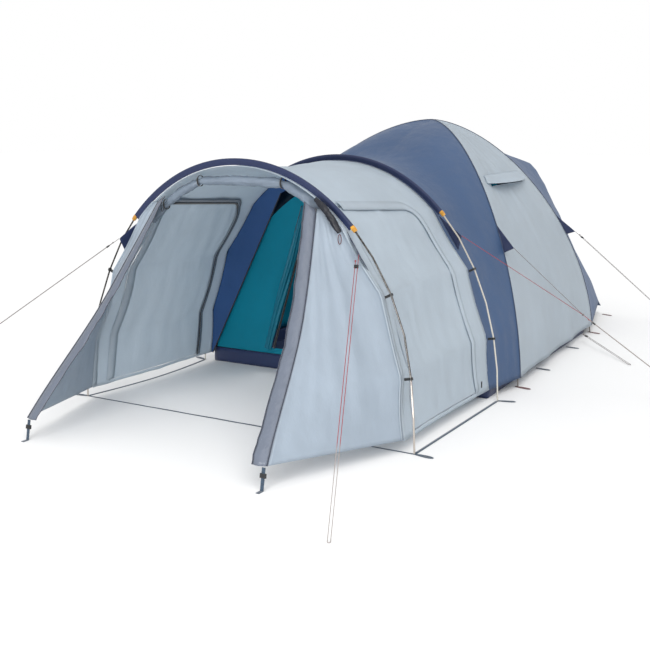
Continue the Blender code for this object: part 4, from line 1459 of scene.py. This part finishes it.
def knot(name, place, mat, size=0.0045):
    made = bmesh.new()
    bmesh.ops.create_icosphere(made, subdivisions=3, radius=size)
    for vert in made.verts:
        d = vert.co.normalized()
        vert.co *= 1 + 0.16 * math.sin(d.x * 7 + d.z * 5) * math.cos(d.y * 6)
        vert.co += set_out(*place)
    return finish_mesh(name, made, mat, "tent")


def guy_lines():
    for name, (starts, peg, runner, change) in GUY_LINES.items():
        line = guy_route(starts, peg, runner)
        mat = rope(
            name + "_finish", srgb(150, 60, 66), srgb(150, 146, 142), change if change < 1.5 else -1.0
        )
        if change > 1.5:
            mat = rope(name + "_finish", srgb(120, 112, 110), srgb(120, 112, 110), 0.0)
        end = knot(name + "_end_knot", line[-1], mat)
        cord(name + "_cord", line, mat, [name])
    mat = rope("dome_front_line_finish", srgb(120, 112, 110), srgb(120, 112, 110), 0.0)
    run = KNOT - DOME_FRONT_GUY
    line = [DOME_FRONT_GUY + run * s for s in spread(0.0, 1 - 0.006 / run.length, 8)]
    end = knot("guy_line_join_knot", KNOT, mat, 0.007)
    cord("dome_front_guy_line_right_cord", line, mat, ["dome_front_guy_line_right"])


def gussets(mats):
    """The navy triangles that the guy lines pull on."""
    for side_name, side in SIDES:
        size = porch_size(0.0)
        feet = [put(side * (hoop_edge(z, *size) + 0.004), 0.0, z) for z in (1.15, 0.95)]
        tip = set_out(side * FRONT_GUY.x, FRONT_GUY.y, FRONT_GUY.z)
        gusset(f"front_gusset_{side_name}", feet, tip, mats, [f"front_guy_anchor_{side_name}"])
        size = porch_size(1.0)
        feet = [put(side * (hoop_edge(z, *size) + 0.012), MIDDLE_GUY.y, z) for z in (1.15, 0.94)]
        tip = set_out(side * MIDDLE_GUY.x, MIDDLE_GUY.y, MIDDLE_GUY.z)
        gusset(
            f"middle_gusset_{side_name}",
            feet,
            tip,
            mats,
            ["middle_guy_anchor_right"] if side > 0 else [],
        )
        turns = [turn_at(z, DOME_HEIGHT, DOME_FRONT_POWER) for z in (1.03, 0.86)]
        feet = [put(*dome_at(side, t, FLY_OUT + 0.004)) for t in turns]
        tip = set_out(side * DOME_FRONT_GUY.x, DOME_FRONT_GUY.y, DOME_FRONT_GUY.z)
        gusset(
            f"dome_front_gusset_{side_name}",
            feet,
            tip,
            mats,
            ["dome_front_guy_anchor_right"] if side > 0 else [],
        )
        turns = [math.pi - turn_at(z, DOME_HEIGHT, DOME_REAR_POWER) for z in (0.98, 0.83)]
        feet = [put(*dome_at(-side, t, FLY_OUT + 0.004)) for t in turns]
        tip = set_out(side * DOME_REAR_GUY.x, DOME_REAR_GUY.y, DOME_REAR_GUY.z)
        gusset(
            f"dome_rear_gusset_{side_name}",
            feet,
            tip,
            mats,
            ["dome_rear_guy_anchor_right"] if side > 0 else [],
        )


def gusset(name, feet, tip, mats, nodes):
    rows = []
    for s in spread(0, 1, 14):
        line = []
        for t in spread(0, 1, 10):
            line.append(mix(mix(feet[0], feet[1], t), tip, 0.96 * s))
        rows.append(line)
    normal = (feet[1] - feet[0]).cross(tip - feet[0]).normalized()
    made = grid(rows, mix(feet[0], tip, 0.4) - normal)
    for vert in made.verts:
        vert.co += normal * 0.003 * noise.noise(vert.co * 22)
    piece = finish_mesh(name, made, mats["navy"], "tent")
    thicken(piece, 0.0018, 0.0)
    apply_modifiers(piece)
    if nodes:
        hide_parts(*nodes)
    return piece


# Stage


def stage_and_light():
    mesh = bpy.data.meshes.new("floor")
    size = 60
    mesh.from_pydata(
        [(-size, -size, 0), (size, -size, 0), (size, size, 0), (-size, size, 0)], [], [(0, 1, 2, 3)]
    )
    floor = bpy.data.objects.new("floor", mesh)
    bpy.context.scene.collection.objects.link(floor)
    n = Nodes("floor")
    n.shader.inputs["Base Color"].default_value = (0.75, 0.75, 0.75, 1)
    n.shader.inputs["Roughness"].default_value = 1.0
    n.shader.inputs["Specular IOR Level"].default_value = 0.0
    mesh.materials.append(n.material)
    floor.location.z = -0.0006
    world = bpy.data.worlds.new("world")
    world.use_nodes = True
    world.node_tree.nodes["Background"].inputs[0].default_value = (1.0, 1.0, 1.0, 1)
    world.node_tree.nodes["Background"].inputs[1].default_value = 1.0
    bpy.context.scene.world = world
    sun = bpy.data.lights.new("key", "SUN")
    sun.energy = 1.6
    sun.angle = math.radians(50)
    key = bpy.data.objects.new("key", sun)
    key.rotation_euler = (math.radians(38), math.radians(18), math.radians(20))
    bpy.context.scene.collection.objects.link(key)
    for name, place, aim, size, power in (
        ("porch_fill", (1.1, -4.2, 0.75), (-0.7, 1.0, 0.75), 1.1, 105),
        ("inner_fill", (0.0, 2.3, 1.25), (0.0, 2.3, 0.0), 0.9, 14),
    ):
        lamp = bpy.data.lights.new(name, "AREA")
        lamp.size = size
        lamp.energy = power
        holder = bpy.data.objects.new(name, lamp)
        holder.location = set_out(*place)
        way = set_out(*aim) - set_out(*place)
        holder.rotation_euler = way.to_track_quat("-Z", "Y").to_euler()
        bpy.context.scene.collection.objects.link(holder)
    bpy.context.scene.view_settings.view_transform = "Standard"


def finishes():
    return {
        "light": cloth("light_fly", srgb(202, 212, 220), 0.50, 0.5, 0.0012, sheen=0.05),
        "wing": cloth("wing_fly", srgb(172, 184, 196), 0.40, 0.5, 0.0014, sheen=0.05),
        "flap": cloth("silver_grey_cloth", srgb(92, 99, 112), 0.03, 0.34, 0.0060, sheen=0.05),
        "rolled": cloth("rolled_cloth", srgb(112, 124, 138), 0.04, 0.34, 0.0060, sheen=0.05),
        "dark_roll": cloth("dark_roll_cloth", srgb(16, 19, 28), 0.0, 0.34, 0.0070, sheen=0.0),
        "blue": cloth("blue_fly", srgb(54, 78, 112), 0.05, 0.5, 0.0020, sheen=0.0),
        # painted light: a lighter, bluer copy of the fly's blue for the divider, standing in for light
        # that shines through it
        "blue_painted_light": cloth("blue_divider_painted_light", srgb(62, 100, 156), 0.45, 0.5, 0.0016, sheen=0.0),
        "navy": cloth("navy_cloth", srgb(24, 36, 70), 0.0, 0.55, 0.0020, sheen=0.0),
        "tub": cloth("tub_cloth", srgb(34, 46, 80), 0.0, 0.45, 0.0014),
        "teal": cloth("teal_cloth", srgb(0, 150, 176), 0.50, 0.55, 0.0014, sheen=0.0),
        # painted shade: a darker copy of the teal canopy cloth, for the shade in the gathered door's
        # folds
        "teal_painted_shade": cloth("teal_gathered_painted_shade", srgb(0, 104, 126), 0.10, 0.55, 0.0020, sheen=0.0),
        "strap": webbing("strap_webbing", srgb(38, 62, 84)),
        "navy_tape": webbing("navy_tape", srgb(30, 38, 58)),
        "zip_tape": webbing("zip_tape", srgb(58, 78, 98)),
        "black_tape": webbing("black_tape", srgb(14, 15, 18)),
        "red_web": webbing("red_webbing", srgb(96, 28, 34)),
        "yellow": webbing("yellow_webbing", srgb(214, 150, 40)),
        "piping": webbing("seam_piping", srgb(62, 74, 100)),
        "plastic": plastic("black_plastic", srgb(16, 17, 19)),
    }


def cad_finishes(mats):
    """The CAD nodes that stay in view get their own finishes."""
    front = pole_finish("front_pole_finish", srgb(176, 168, 160), srgb(18, 17, 17), 0.30, 0.42)
    middle = pole_finish("middle_pole_finish", srgb(206, 202, 192), srgb(176, 170, 160), 0.3, 1.0)
    dark = pole_finish("dome_pole_finish", srgb(120, 116, 112), srgb(60, 58, 60), 0.3, 1.0)
    looks = {"front_hoop_pole": front, "middle_hoop_pole": middle}
    for name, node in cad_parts.items():
        if name.endswith("_pole") or name.startswith("dome_pole"):
            look, slot = looks.get(name, dark), "pole"
        elif "clip" in name or "runner" in name or "buckle" in name or "slider" in name:
            look, slot = mats["plastic"], "plastic"
        elif "strap" in name:
            look, slot = mats["strap"], "webbing"
        else:
            continue
        node.data.materials.clear()
        node.data.materials.append(look)


def main():
    camera()
    stage_and_light()
    mats = finishes()
    cad_finishes(mats)
    guy_lines()
    gussets(mats)
    porch(mats)
    side_doors(mats)
    sleeves(mats)
    dome_front(mats)
    dome_sides(mats)
    dome_rear(mats)
    vent_hoods(mats)
    wings(mats)
    rolled_door(mats)
    divider(mats)
    inner_tent(mats)
    tub(mats)
    inner_door(mats)
    ground(mats)


main()
